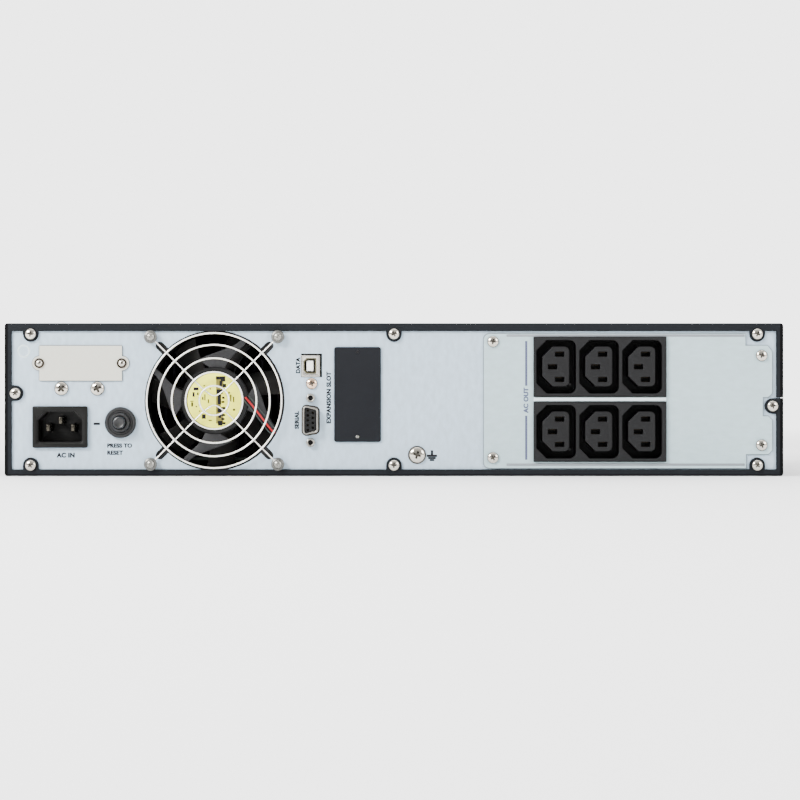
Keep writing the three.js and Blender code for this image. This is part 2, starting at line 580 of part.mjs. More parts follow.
function addFront() {
  const margin = SHEET + GAP;
  const [bulkFront, bulkBack] = [FRONT + SHEET + GAP, FRONT + 2 * SHEET + GAP];
  const sheet = slab(
    rectangle(0, HEIGHT / 2, WIDTH - 2 * margin, HEIGHT - 2 * margin), bulkFront, bulkBack,
  );
  add('front_bulkhead', cut(sheet, [
    block(BAY.x0, BAY.x1, bulkFront - 1, bulkBack + 1, BAY.z0, BAY.z1),
    block(-30, 60, bulkFront - 1, bulkBack + 1, 14, 72),
    block(120, 150, bulkFront - 1, bulkBack + 1, 20, 32),
  ]), GALVANISED());

  const inner = BEZEL_FACE + BEZEL_WALL;
  const shellWall = 2.4;
  const skin = slab(rectangle(0, HEIGHT / 2, WIDTH, HEIGHT, 3), BEZEL_FACE, FRONT - GAP);
  const [holeLow, holeHigh] = [BEZEL_FACE - 1, inner + 1];
  const louvres = Array.from({ length: 15 }, (_, i) => {
    const x = -27 + i * 6;
    return block(x, x + 3.2, holeLow, holeHigh, 14, 72);
  });
  add('front_bezel', cut(skin, [
    block(FASCIA.x1 + 3, WIDTH / 2 - shellWall, inner, FRONT + 1, shellWall, HEIGHT - shellWall),
    block(FASCIA.x0, FASCIA.x1, holeLow, FRONT + 1, FASCIA.z0, FASCIA.z1),
    slab(rectangle(DISPLAY.x, DISPLAY.z, DISPLAY.width + 0.6, DISPLAY.height + 0.6, 2), holeLow, holeHigh),
    ...BUTTONS.xs.map((x) => rod(x, BUTTONS.z, BUTTONS.radius + 0.35, holeLow, holeHigh, 24)),
    ...louvres,
  ]), BLACK_PLASTIC());

  const glass = rectangle(DISPLAY.x, DISPLAY.z, DISPLAY.width, DISPLAY.height, 2);
  add('display_window', slab(glass, BEZEL_FACE + 0.5, BEZEL_FACE + 2.5), paint(0x0e1418, 0.1));
  const board = block(84, 188, -206, -204.4, 10, 76);
  const screen = block(102, 170, BEZEL_FACE + 3, -205.9, 36, 68);
  add('display_board', join([board, screen]), BOARD_GREEN());

  BUTTONS.xs.forEach((x, i) => add(`push_button_${i + 1}`, turned(x, BUTTONS.z, [
    [0, FRONT_TIP], [BUTTONS.radius - 0.6, FRONT_TIP], [BUTTONS.radius, FRONT_TIP + 0.6],
    [BUTTONS.radius, inner + GAP], [7, inner + GAP], [7, inner + GAP + 1],
    [2, inner + GAP + 1], [2, -208], [0, -208],
  ], 16), GREY_PLASTIC()));
}

// ---- Battery drawer ----

function addDrawer() {
  const [x0, x1] = [BAY.x0 + 0.8, BAY.x1 - 0.8];
  const floor = BAY.z0 + 0.4;
  const tail = 118;
  const wall = 1;
  const tray = block(x0, x1, FRONT + 1, tail, floor, floor + 46);
  const space = block(x0 + wall, x1 - wall, FRONT + 1 + wall, tail - wall, floor + wall, floor + 60);
  const plate = block(FASCIA.x0 + 1.5, FASCIA.x1 - 1.5, FRONT, FRONT + SHEET, floor, FASCIA.z1 - 1.2);
  const pull = block(-160, -100, FRONT - 14, FRONT + 0.5, 60, 62)
    .subtract(block(-157.5, -102.5, FRONT - 11.5, FRONT + 0.1, 59, 63));
  add('battery_drawer', join([tray.subtract(space), plate, pull]), GALVANISED());

  const plug = block(-146, -114, FRONT - GAP - 16, FRONT - GAP, 22, 42);
  add('battery_connector', plug, paint(0x8c8f93, 0.5));

  const batteryX = (x0 + x1) / 2;
  for (let i = 0; i < 3; i += 1) {
    const y0 = FRONT + 3 + i * BATTERY.pitch;
    const z0 = floor + wall + GAP;
    const [left, right] = [batteryX - BATTERY.width / 2, batteryX + BATTERY.width / 2];
    const caseSolid = block(left, right, y0, y0 + BATTERY.length, z0, z0 + BATTERY.height);
    const tabs = [left + 14, right - 20].map((x) => block(
      x, x + 6.3, y0 + BATTERY.length - 0.5, y0 + BATTERY.length + 6, z0 + 50, z0 + 50.9,
    ));
    add(`battery_${i + 1}`, join([caseSolid, ...tabs]), paint(0x3a3c40, 0.6));
  }

  [[BAY.x0 - 2.4, 1], [BAY.x1 + 2.4, -1]].forEach(([x, side], i) => {
    const upstand = [x, x + side * 1.2].sort((a, b) => a - b);
    const foot = [x, x + side * 14].sort((a, b) => a - b);
    const rail = join([
      block(...upstand, -186, 116, SHEET + 0.8, 34),
      block(...foot, -186, 116, SHEET + 0.8, SHEET + 1.8),
    ]);
    add(['drawer_guide_left', 'drawer_guide_right'][i], rail, GALVANISED());
  });
}

function addFascia() {
  const [x0, x1] = [FASCIA.x0 + 0.4, FASCIA.x1 - 0.4];
  const [z0, z1] = [FASCIA.z0 + 0.4, FASCIA.z1 - 0.4];
  const face = BEZEL_FACE + 0.3;
  const back = face + BEZEL_WALL;
  const plate = block(x0, x1, face, back, z0, z1);
  const posts = [[x0 + 12, z0 + 10], [x1 - 12, z0 + 10], [x0 + 12, z1 - 10], [x1 - 12, z1 - 10]].map(
    ([x, z]) => block(x - 3, x + 3, back - 0.5, FRONT - GAP, z - 4, z + 4),
  );
  const scoop = block(x1 - 12, x1 - 5, face - 1, face + 1.4, 30, 56);
  const grooves = [29, 57].map((z) => block(x0 + 8, x1 - 22, face - 1, face + 0.8, z, z + 1.2));
  add('drawer_fascia', cut(join([plate, ...posts]), [scoop, ...grooves]), BLACK_PLASTIC());
}

addShells();
addCoverScrews();
addRearPanel();
addOutletPlate();
addCovers();
addInlet();
addOutlets();
addBreaker();
addFanFrame();
addFanRotor();
addFanGuard();
addFanLead();
addFanScrews();
addPorts();
addInsides();
addFront();
addDrawer();
addFascia();

export default group;
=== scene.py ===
"""Looks for the rack-mount UPS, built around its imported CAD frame.

Lengths are millimetres and become metres when a mesh is made. The studio is laid out in metres.
The rear panel faces +Y. Someone facing it sees +X on their left.
"""

import math

import bmesh
import bpy
from mathutils import Matrix, Vector


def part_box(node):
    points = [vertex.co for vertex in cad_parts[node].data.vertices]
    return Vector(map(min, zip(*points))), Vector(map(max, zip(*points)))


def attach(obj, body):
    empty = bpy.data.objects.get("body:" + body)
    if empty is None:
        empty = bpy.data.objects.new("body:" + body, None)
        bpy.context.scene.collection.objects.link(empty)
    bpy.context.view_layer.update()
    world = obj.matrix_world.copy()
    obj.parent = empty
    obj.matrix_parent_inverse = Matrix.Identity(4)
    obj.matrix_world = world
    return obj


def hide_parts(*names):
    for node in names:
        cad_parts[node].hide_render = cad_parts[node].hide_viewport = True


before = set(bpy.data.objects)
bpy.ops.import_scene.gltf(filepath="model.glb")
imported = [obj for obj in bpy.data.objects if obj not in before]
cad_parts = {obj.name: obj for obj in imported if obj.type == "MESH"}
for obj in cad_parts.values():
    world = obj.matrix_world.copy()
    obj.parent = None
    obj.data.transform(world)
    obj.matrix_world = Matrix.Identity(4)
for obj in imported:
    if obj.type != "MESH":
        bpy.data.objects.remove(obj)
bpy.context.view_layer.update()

MM = 0.001
CHASSIS = "chassis"


# ---- Places read from the frame, and driving dimensions ----

def span(node):
    """The low corner, the high corner and the middle of a CAD node's box."""
    low, high = (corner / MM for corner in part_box(node))
    return low, high, (low + high) / 2


SHELL_HIGH = span("lower_shell")[1]
FLANGE_FACE = SHELL_HIGH.y
PANEL_FACE = span("rear_panel")[1].y
PLATE_FACE = span("outlet_plate")[1].y
BEZEL_FACE = span("front_bezel")[0].y
FAN = span("fan_frame")[2]

GAP = 0.3                # between a sheet and a part that lies on it
INK = 0.04               # how far a printed bar stands out
FAN_REACH = 35.75        # from the fan's middle to its fasteners, along X and along Z
FAN_BORE = 38.0          # the radius of the fan's opening
HUB_DEPTH = 0.4          # from the fan frame's rear face to the face of its hub
SHANK = 1.5              # the radius of a screw's shank
BLANKING_REACH = 23.2    # from the blanking plate's middle to its screws


# ---- Materials ----

LOOK = {}


def srgb(colour, factor=1.0):
    """The linear colour of an sRGB colour given as 0 to 255, made lighter or darker by a factor."""
    def linear(value):
        value /= 255
        return value / 12.92 if value <= 0.04045 else ((value + 0.055) / 1.055) ** 2.4
    return [min(1.0, linear(value) * factor) for value in colour] + [1.0]


def add_node(tree, kind, inputs, **settings):
    """A new shader node; each input is given a value, or the output that feeds it."""
    node = tree.nodes.new(f"ShaderNode{kind}")
    for name, value in settings.items():
        setattr(node, name, value)
    for name, value in inputs.items():
        if isinstance(value, bpy.types.NodeSocket):
            tree.links.new(value, node.inputs[name])
        else:
            node.inputs[name].default_value = value
    return node


def output(tree, kind, name, inputs={}, **settings):
    """The named output of a new shader node."""
    return add_node(tree, kind, inputs, **settings).outputs[name]


def maths(tree, operation, *values):
    return output(tree, "Math", "Value", dict(enumerate(values)), operation=operation)


def surface(name, colour, roughness, spread, grain, bump=0.08, specular=0.5, metallic=0.0,
            rough_spread=0.06, bump_grain=1800, depth=0.05, stretch=(1, 1, 1)):
    """A procedural material: two sizes of mottling in its colour, uneven gloss and a fine relief."""
    made = bpy.data.materials.new(name)
    made.use_nodes = True
    tree = made.node_tree
    shader = tree.nodes["Principled BSDF"]
    shader.inputs["Metallic"].default_value = metallic
    shader.inputs["Specular IOR Level"].default_value = specular
    place = output(tree, "TexCoord", "Object")
    mapping = output(tree, "Mapping", "Vector", {"Scale": stretch, "Vector": place})

    def noise(scale, detail):
        return output(tree, "TexNoise", "Fac", {"Scale": scale, "Detail": detail, "Vector": mapping})

    fine = maths(tree, "MULTIPLY", noise(grain, 5), 0.65)
    blend = maths(tree, "MULTIPLY_ADD", noise(grain / 40, 2), 0.35, fine)
    ramp = add_node(tree, "ValToRGB", {"Fac": blend})
    for stop, position, side in zip(ramp.color_ramp.elements, (0.35, 0.65), (-1, 1)):
        stop.position = position
        stop.color = srgb(colour, 1 + side * spread)
    gloss = output(tree, "MapRange", "Result", {
        "Value": blend, "To Min": max(0.02, roughness - rough_spread),
        "To Max": min(1.0, roughness + rough_spread)})
    relief = output(tree, "Bump", "Normal", {
        "Strength": bump, "Distance": depth * MM, "Height": noise(bump_grain, 3)})
    tree.links.new(ramp.outputs["Color"], shader.inputs["Base Color"])
    tree.links.new(gloss, shader.inputs["Roughness"])
    tree.links.new(relief, shader.inputs["Normal"])
    LOOK[name] = made
    return made


def paint_fold_shade(material, colour, width):
    """Paints shade into the paint where the rear flange folds round to the sides and the floor of the shell,
    a near-black band standing in for the shade on the fold.
    """
    tree = material.node_tree
    paint = tree.nodes["Principled BSDF"].inputs["Base Color"]
    place = output(tree, "TexCoord", "Object")
    split = add_node(tree, "SeparateXYZ", {"Vector": place}).outputs

    def step(source, start, end):
        return output(tree, "MapRange", "Result", {
            "Value": source, "From Min": start * MM, "From Max": end * MM})

    fold = SHELL_HIGH.x - width
    beside = step(maths(tree, "ABSOLUTE", split["X"]), fold - 0.2, fold + 0.2)
    below = step(split["Z"], width * 0.8, width * 0.4)
    rear = step(split["Y"], FLANGE_FACE - 1.4, FLANGE_FACE - 0.6)
    amount = maths(tree, "MULTIPLY", maths(tree, "MAXIMUM", beside, below), rear)
    first, second, result = 6, 7, 2    # the colour sockets of a mix node
    inputs = {"Factor": amount, first: paint.links[0].from_socket, second: srgb(colour)}
    tree.links.new(output(tree, "Mix", result, inputs, data_type="RGBA"), paint)


def make_paints():
    """Each has a colour, roughness, spread of colour, grain, relief and specular level."""
    dull = 0.18
    dark = surface("dark_paint", (25, 27, 30), 0.5, 0.12, 1500, 0.3, 0.06, bump_grain=2600)
    # painted shade: the shells' paint turns near-black along the rear flange's folded sides and floor
    paint_fold_shade(dark, (4, 4, 5), 1.8)
    # painted shade: near-black, almost unreflecting paint for the bevelled edges of the shells and the slot
    # cover
    surface("dark_paint_shaded_edge", (10, 11, 13), 0.8, 0.12, 1500, specular=0.02)
    surface("slot_paint", (25, 26, 29), 0.5, 0.08, 1600, 0.3, 0.06)
    surface("beige_paint", (194, 193, 181), 0.55, 0.02, 1200, 0.2)
    # painted highlight: a lighter cream for the blanking plate's bevelled rim
    surface("beige_paint_lit_edge", (216, 214, 198), 0.5, 0.03, 1200)
    # painted shadow: the grey of the thin lines round the blanking plate and the outlet plate
    surface("painted_shadow_line", (122, 129, 135), 0.7, 0.05, 900, specular=dull)
    surface("black_ink", (14, 14, 17), 0.6, 0.12, 2500, specular=dull)
    surface("grey_ink", (78, 83, 108), 0.6, 0.05, 2500, specular=dull)
    surface("screen_ink", (110, 190, 225), 0.3, 0.04, 800)
    surface("fan_label", (255, 255, 76), 0.5, 0.03, 500, 0.1)
    surface("fan_label_band", (120, 112, 34), 0.5, 0.12, 900)
    surface("battery_label", (150, 154, 158), 0.5, 0.03, 700)


def make_plastics():
    """Each has a colour, roughness, spread of colour, grain, relief and specular level."""
    dull = 0.18
    surface("black_plastic", (8, 8, 6), 0.42, 0.15, 1400, 0.25, dull)
    surface("fan_plastic", (22, 22, 22), 0.45, 0.15, 1100, 0.2, dull)
    surface("rotor_plastic", (38, 37, 36), 0.3, 0.15, 1100, 0.2, 0.3)
    surface("strut_plastic", (44, 44, 45), 0.42, 0.12, 1100, 0.2, dull)
    surface("outlet_plastic", (21, 21, 22), 0.5, 0.08, 1300, 0.3, dull)
    surface("outlet_edge", (22, 22, 23), 0.5, 0.08, 1300, specular=dull)
    # painted shade: a darker copy of the outlet plastic for the sockets' hollows, the USB shell's inside, the
    # sheets behind the port cut-outs and the jackscrews' bores; it is also the serial insert's own black
    surface("recess_shade_and_dark_insert", (14, 14, 14), 0.55, 0.12, 1300, 0.3, dull)
    surface("breaker_plastic", (17, 17, 18), 0.36, 0.1, 1300, 0.25)
    surface("white_plastic", (246, 246, 242), 0.45, 0.02, 1300, 0.15)
    surface("red_wire", (178, 6, 20), 0.4, 0.06, 1500)
    surface("dark_wire", (40, 50, 48), 0.4, 0.06, 1500)
    surface("bezel_plastic", (17, 18, 20), 0.48, 0.12, 1800, 0.6, 0.25)
    surface("button_plastic", (46, 48, 52), 0.4, 0.05, 1500, 0.2)
    surface("window_acrylic", (8, 12, 16), 0.08, 0.04, 200, 0.02, rough_spread=0.02)
    surface("green_led", (50, 190, 80), 0.25, 0.04, 800)
    surface("amber_led", (220, 140, 30), 0.25, 0.04, 800)
    surface("filter_foam", (16, 16, 17), 0.9, 0.3, 900, 0.9, dull, depth=0.4)
    surface("solder_mask", (8, 30, 18), 0.35, 0.1, 900, 0.2)
    surface("lacquered_winding", (110, 66, 34), 0.4, 0.15, 900)
    surface("capacitor_sleeve", (20, 28, 60), 0.3, 0.06, 900)
    surface("battery_case", (34, 36, 40), 0.42, 0.1, 1400, 0.5)
    surface("battery_lid", (20, 21, 24), 0.45, 0.08, 1200, 0.3)
    surface("terminal_red", (170, 24, 28), 0.4, 0.06, 1200)
    surface("connector_plastic", (120, 123, 128), 0.45, 0.05, 1200)


def metal(name, colour, roughness, metallic, spread, grain, rough_spread=0.06, bump=0.08,
          stretch=(1, 1, 1)):
    surface(name, colour, roughness, spread, grain, bump, metallic=metallic, rough_spread=rough_spread,
            stretch=stretch)


def make_metals():
    metal("zinc_panel", (174, 192, 206), 0.5, 0.2, 0.09, 420, 0.1, 0.14, (1, 1, 0.45))
    # painted shade: a darker zinc for the rear panel's bevelled edges and the outlet plate's hems
    metal("zinc_shaded_edge", (128, 133, 138), 0.5, 0.4, 0.04, 420)
    metal("zinc_plate", (168, 189, 194), 0.5, 0.2, 0.06, 420, 0.1, 0.12, (0.45, 1, 1))
    # painted shade: a darker zinc for the outlet plate's bevelled edges, drawing its outline
    metal("zinc_plate_shaded_edge", (77, 86, 91), 0.5, 0.2, 0.04, 420)
    # painted light: a lighter zinc for the strip between the outlet blocks and the pressed mark's ring
    metal("zinc_lit", (204, 220, 224), 0.45, 0.1, 0.04, 420)
    metal("zinc_inside", (104, 109, 112), 0.4, 0.75, 0.13, 260, 0.12, 0.15)
    metal("nickel_screw", (206, 200, 188), 0.1, 0.98, 0.12, 900, 0.08, 0.3)
    # painted shade: a dark copy of the screw metal for screw rims and the earth washer
    metal("nickel_shaded_rim", (84, 80, 74), 0.3, 0.9, 0.12, 900, 0.08)
    # painted shade: a dark brown for the screws' driver recesses, the blanking screws' cups and the ring
    # round the serial socket
    metal("screw_recess_shade", (50, 42, 34), 0.4, 0.7, 0.12, 900, 0.08)
    metal("satin_fastener", (138, 137, 131), 0.26, 0.7, 0.12, 900, 0.08, 0.3)
    metal("satin_flange", (96, 96, 93), 0.34, 0.6, 0.12, 900, 0.08)
    metal("warm_screw", (228, 196, 168), 0.18, 0.96, 0.12, 900, 0.1, 0.3)
    # the near-white face colour of the guard wires, paired with a painted-shade copy for their sides
    metal("guard_nickel", (255, 252, 245), 0.26, 0.35, 0.03, 600)
    # painted shade: a dark brown copy for the sides of the guard wires
    metal("guard_wire_shade", (112, 96, 78), 0.3, 0.6, 0.08, 600)
    metal("tin_plate", (200, 197, 188), 0.28, 0.9, 0.08, 900, 0.1)
    metal("dull_tin", (150, 147, 140), 0.3, 0.92, 0.1, 900, 0.1)
    metal("usb_collar", (84, 80, 56), 0.45, 0.3, 0.1, 900, 0.1)
    metal("pin_plate", (66, 63, 56), 0.25, 0.85, 0.15, 900, 0.1)
    metal("contact_gold", (50, 42, 28), 0.4, 0.9, 0.1, 900, 0.1)
    metal("satin_trim", (120, 122, 126), 0.3, 0.9, 0.06, 700, stretch=(0.1, 1, 1))
    metal("anodised_heatsink", (16, 16, 18), 0.4, 0.8, 0.1, 500, stretch=(1, 0.05, 1))


# ---- Outlines ----

def fillet(previous, corner, following, radius, steps):
    """The points of an arc of that radius round a corner."""
    before = (Vector(previous) - Vector(corner)).normalized()
    after = (Vector(following) - Vector(corner)).normalized()
    half = before.angle(after) / 2
    start = before * (radius / math.tan(half))
    centre = (before + after).normalized() * (radius / math.sin(half))
    turn = before.x * after.y - before.y * after.x
    sweep = math.copysign(2 * half - math.pi, -1) * math.copysign(1, turn)
    arm = start - centre
    return [Vector(corner) + centre + Matrix.Rotation(sweep * k / steps, 2) @ arm
            for k in range(steps + 1)]


def outline(corners, steps=8):
    """A closed outline in X and Z; a corner is (x, z) or (x, z, radius)."""
    points = []
    for i, corner in enumerate(corners):
        radius = corner[2] if len(corner) > 2 else 0
        if not radius:
            points.append(Vector(corner[:2]))
            continue
        following = corners[(i + 1) % len(corners)]
        points += fillet(corners[i - 1][:2], corner[:2], following[:2], radius, steps)
    return points


def rectangle(x, z, width, height, radius=0.0, steps=8):
    w, h = width / 2, height / 2
    return outline([(x - w, z - h, radius), (x + w, z - h, radius),
                    (x + w, z + h, radius), (x - w, z + h, radius)], steps)


def box_outline(node, grow=0.0, radius=0.0, steps=8):
    """The outline of a CAD node's box, made wider and higher by that much."""
    low, high, centre = span(node)
    return rectangle(centre.x, centre.z, high.x - low.x + grow, high.z - low.z + grow, radius, steps)


def keyed_outline(x, z, w, h, chamfer, radius, chamfer_radius):
    """A rectangle of half sizes w and h with its two corners on the +X side cut off."""
    return outline([
        (x - w, z - h, radius), (x + w - chamfer, z - h, chamfer_radius),
        (x + w, z - h + chamfer, chamfer_radius), (x + w, z + h - chamfer, chamfer_radius),
        (x + w - chamfer, z + h, chamfer_radius), (x - w, z + h, radius)])


def turns(sides):
    return [2 * math.pi * k / sides for k in range(sides)]


def circle(x, z, radius, sides=64):
    return [Vector((x + radius * math.cos(a), z + radius * math.sin(a))) for a in turns(sides)]


def quarter_dome(radius, height, seat, steps, end):
    """The profile of a dome from its rim to the given step of the way to its top."""
    return [(radius * math.cos(a), seat + height * math.sin(a))
            for a in (math.radians(90 * k / steps) for k in range(end + 1))]


# ---- Mesh building ----

def new_object(name, data):
    made = bpy.data.objects.new(name, data)
    bpy.context.scene.collection.objects.link(made)
    return made


def shown_mesh(thing):
    """The mesh that an object shows once its curve or its modifiers are worked out."""
    depsgraph = bpy.context.evaluated_depsgraph_get()
    return bpy.data.meshes.new_from_object(thing.evaluated_get(depsgraph))


def finished(work):
    mesh = bpy.data.meshes.new("mesh")
    work.to_mesh(mesh)
    work.free()
    return mesh


def curve_mesh(curve, place=Matrix()):
    """The mesh of a curve, moved to its place and welded along its seams."""
    holder = new_object("curve", curve)
    mesh = shown_mesh(holder)
    bpy.data.objects.remove(holder)
    bpy.data.curves.remove(curve)
    mesh.transform(place)
    work = bmesh.new()
    work.from_mesh(mesh)
    bmesh.ops.remove_doubles(work, verts=work.verts, dist=1e-6)
    bmesh.ops.recalc_face_normals(work, faces=work.faces)
    work.to_mesh(mesh)
    work.free()
    return mesh


def plate(loops, y0, y1, bevel=0.0, segments=2, grow=0.0):
    """The mesh of a flat plate from y0 to y1: the first loop is its outer edge, the others are holes."""
    curve = bpy.data.curves.new("outline", "CURVE")
    curve.dimensions = "2D"
    curve.fill_mode = "BOTH"
    curve.extrude = ((y1 - y0) / 2 - bevel) * MM
    curve.bevel_depth = bevel * MM
    curve.bevel_resolution = segments - 1
    curve.offset = (grow - bevel) * MM
    for loop in loops:
        spline = curve.splines.new("POLY")
        spline.points.add(len(loop) - 1)
        for point, (x, z) in zip(spline.points, loop):
            point.co = (x * MM, z * MM, 0, 1)
        spline.use_cyclic_u = True
    upright = Matrix.Rotation(math.pi / 2, 4, "X")
    return curve_mesh(curve, Matrix.Translation((0, (y0 + y1) / 2 * MM, 0)) @ upright)


def flat_bar(x, z, width, height, y0, y1):
    """The mesh of a thin upright rectangle."""
    return plate([rectangle(x, z, width, height)], y0, y1)


def wire(points, radius, closed=False):
    """The mesh of a round wire through the given points."""
    curve = bpy.data.curves.new("wire", "CURVE")
    curve.dimensions = "3D"
    curve.bevel_depth = radius * MM
    curve.bevel_resolution = 5
    curve.use_fill_caps = True
    spline = curve.splines.new("POLY")
    spline.points.add(len(points) - 1)
    for point, place in zip(spline.points, points):
        point.co = (*(Vector(place) * MM), 1)
    spline.use_cyclic_u = closed
    return curve_mesh(curve)


def skin(rings, capped=False, looped=False):
    """A mesh with a band of faces from each ring of points to the next; a ring may be a single point."""
    work = bmesh.new()
    rings = [[work.verts.new([value * MM for value in point]) for point in ring] for ring in rings]
    if capped:
        work.faces.new(rings[0])
        work.faces.new(rings[-1])
    if looped:
        rings.append(rings[0])
    for low, high in zip(rings, rings[1:]):
        sides = max(len(low), len(high))
        for k in range(sides):
            j = (k + 1) % sides
            corners = [low[k % len(low)], low[j % len(low)], high[j % len(high)], high[k % len(high)]]
            unique = list(dict.fromkeys(corners))
            if len(unique) > 2:
                work.faces.new(unique)
    bmesh.ops.recalc_face_normals(work, faces=work.faces)
    return finished(work)


def turned(x, z, profile, sides=48, y0=0.0):
    """The mesh of a solid turned about an axis along Y; the profile lists (radius, y from y0)."""
    rings = [[(x + radius * math.cos(a), y0 + y, z + radius * math.sin(a))
              for a in (turns(sides) if radius else [0])] for radius, y in profile]
    return skin(rings, looped=min(profile[0][0], profile[-1][0]) > 0)


def block(x0, x1, y0, y1, z0, z1, bevel=0.0, segments=3):
    """The mesh of a block with rounded edges."""
    work = bmesh.new()
    bmesh.ops.create_cube(work, size=1)
    size = Vector((x1 - x0, y1 - y0, z1 - z0))
    centre = Vector((x0 + x1, y0 + y1, z0 + z1)) / 2
    bmesh.ops.scale(work, vec=size * MM, verts=work.verts)
    bmesh.ops.translate(work, vec=centre * MM, verts=work.verts)
    if bevel:
        bmesh.ops.bevel(work, geom=work.edges[:], offset=bevel * MM, segments=segments,
                        affect="EDGES", profile=0.5)
    return finished(work)


def merged(parts):
    """One mesh of several parts; a part is a mesh, or a mesh and the index of its material."""
    work = bmesh.new()
    for part in parts:
        mesh, index = part if isinstance(part, tuple) else (part, 0)
        first = len(work.faces)
        work.from_mesh(mesh)
        work.faces.ensure_lookup_table()
        for face in work.faces[first:]:
            face.material_index = index
        bpy.data.meshes.remove(mesh)
    return finished(work)


def cut_mesh(mesh, cutter):
    """The mesh with the cutter's volume taken out."""
    target, tool = new_object("target", mesh), new_object("tool", cutter)
    modifier = target.modifiers.new("cut", "BOOLEAN")
    modifier.operation = "DIFFERENCE"
    modifier.solver = "EXACT"
    modifier.object = tool
    result = shown_mesh(target)
    for thing in (target, tool):
        bpy.data.objects.remove(thing)
    for used in (mesh, cutter):
        bpy.data.meshes.remove(used)
    return result


def piece(name, parts, looks, body=CHASSIS, replaces=(), smooth=35):
    """A visible piece from one mesh, or from a list of parts."""
    mesh = merged(parts) if isinstance(parts, list) else parts
    mesh.polygons.foreach_set("use_smooth", [True] * len(mesh.polygons))
    mesh.set_sharp_from_angle(angle=math.radians(smooth))
    mesh.name = name
    for look in looks:
        mesh.materials.append(LOOK[look])
    made = new_object(name, mesh)
    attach(made, body)
    if replaces:
        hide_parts(*replaces)
    return made


def refined(node, parts, looks, body=CHASSIS, smooth=35):
    """A finer piece in the place of one CAD node."""
    return piece(f"{node}_fine", parts, looks, body, [node], smooth)


# ---- Screws ----

def cross_cutter(size, depth, face, twist):
    """A tapered cross, as a cross-head driver leaves, sunk into a face at that y."""
    rings = []
    for y, reach, half in ((face + depth, size * 0.62, size * 0.17),
                           (face - depth, size * 0.24, size * 0.08)):
        arm = [Vector((reach, -half)), Vector((reach, half)), Vector((half, half))]
        ring = []
        for quarter in range(4):
            turn = Matrix.Rotation(math.radians(90 * quarter + twist), 2)
            ring += [(point.x, y, point.y) for point in (turn @ corner for corner in arm)]
        rings.append(ring)
    return skin(rings, capped=True)


def pan_head(radius, height, seat, twist, shank, tip, cross):
    """A cross-head screw on the Y axis, its head from seat to seat + height."""
    wall = 0.35 * height
    rise = height - wall
    dome = quarter_dome(radius, rise, seat + wall, 8, 8)
    dome[-1] = (0, seat + height)
    stem = [(0, tip), (shank * 0.7, tip), (shank, tip + 0.8), (shank, seat)] if shank else [(0, seat)]
    profile = stem + [(radius * 0.97, seat), (radius, seat + height * 0.12)] + dome
    cutter = cross_cutter(radius * cross, height * 0.6, seat + height, twist)
    head = cut_mesh(turned(0, 0, profile), cutter)
    # the rim and the driver recess take darker materials as painted shade
    rim, recess = 1, 2
    for face in head.polygons:
        y, from_axis = face.center.y / MM, math.hypot(face.center.x, face.center.z) / MM
        dome_y = seat + wall + rise * math.sqrt(max(0, 1 - (from_axis / radius) ** 2))
        if y < seat + height * 0.42 or from_axis > radius * 0.93:
            face.material_index = rim
        elif y < dome_y - 0.12:
            face.material_index = recess
    return head


def screw(name, x, z, radius, height, seat, look, twist, shank=None, tip=None, replaces=(), cross=1.15):
    """A screw whose rim and driver recess carry painted shade, darker than its dome."""
    mesh = pan_head(radius, height, seat, twist, shank, tip, cross)
    mesh.transform(Matrix.Translation((x * MM, 0, z * MM)))
    piece(name, mesh, [look, "nickel_shaded_rim", "screw_recess_shade"], replaces=replaces, smooth=30)


def make_screw_groups():
    for i in range(1, 9):
        node = f"cover_screw_{i}"
        low, _, centre = span(node)
        screw(f"{node}_fine", centre.x, centre.z, 3.1, 2.1, FLANGE_FACE + GAP, "nickel_screw",
              20 + 37 * i, SHANK, low.y, [node])
    for i, (x, z) in enumerate([(-55.7, 75.6), (-55.7, 10.3), (-206.8, 67.8), (-206.8, 17.4)]):
        screw(f"outlet_plate_screw_{i + 1}", x, z, 3.2, 2.1, PLATE_FACE, "nickel_screw", 50 * i + 12,
              SHANK, PANEL_FACE - 6)
    blank, slot = span("blanking_plate")[2], span("option_slot_cover")[2]
    panel_x, panel_z, panel_reach, slot_reach = 177.05, 49.2, 10.15, 23.8
    for i, side in enumerate((1, -1)):
        x = blank.x + side * BLANKING_REACH
        screw(f"blanking_screw_{i + 1}", x, blank.z, 1.9, 1.4, PLATE_FACE + 0.3, "nickel_screw", 30 * i)
        # painted shade: a dark cup round each blanking screw
        cup = turned(x, blank.z, [(1.9, 0), (2.8, 0), (2.8, 0.7), (1.9, 0.5)], y0=PLATE_FACE)
        piece(f"blanking_cup_{i + 1}", cup, ["screw_recess_shade"])
        screw(f"panel_screw_{i + 1}", panel_x + side * panel_reach, panel_z, 3.95, 2.4, PANEL_FACE,
              "nickel_screw", 45 + 20 * i, cross=1.4)
        screw(f"slot_screw_{i + 1}", slot.x, slot.z + side * slot_reach, 0.9, 0.5, PLATE_FACE,
              "slot_paint" if side > 0 else "satin_fastener", 15)


def make_single_screws():
    port_x, port_z = 46.3, 52.0
    screw("port_screw", port_x, port_z, 3.2, 2.0, PANEL_FACE, "warm_screw", 70)
    low, high, earth = span("earth_screw")
    screw("earth_screw_fine", earth.x, earth.z, 4.6, 2.6, high.y - 3, "nickel_screw", 18, SHANK,
          low.y, ["earth_screw"])
    # painted shade: the washer takes the screws' darker rim metal
    washer = turned(earth.x, earth.z, [(4.4, 0), (5.1, 0), (5.1, 0.5), (4.4, 0.6)], y0=PANEL_FACE)
    piece("earth_washer", washer, ["nickel_shaded_rim"])


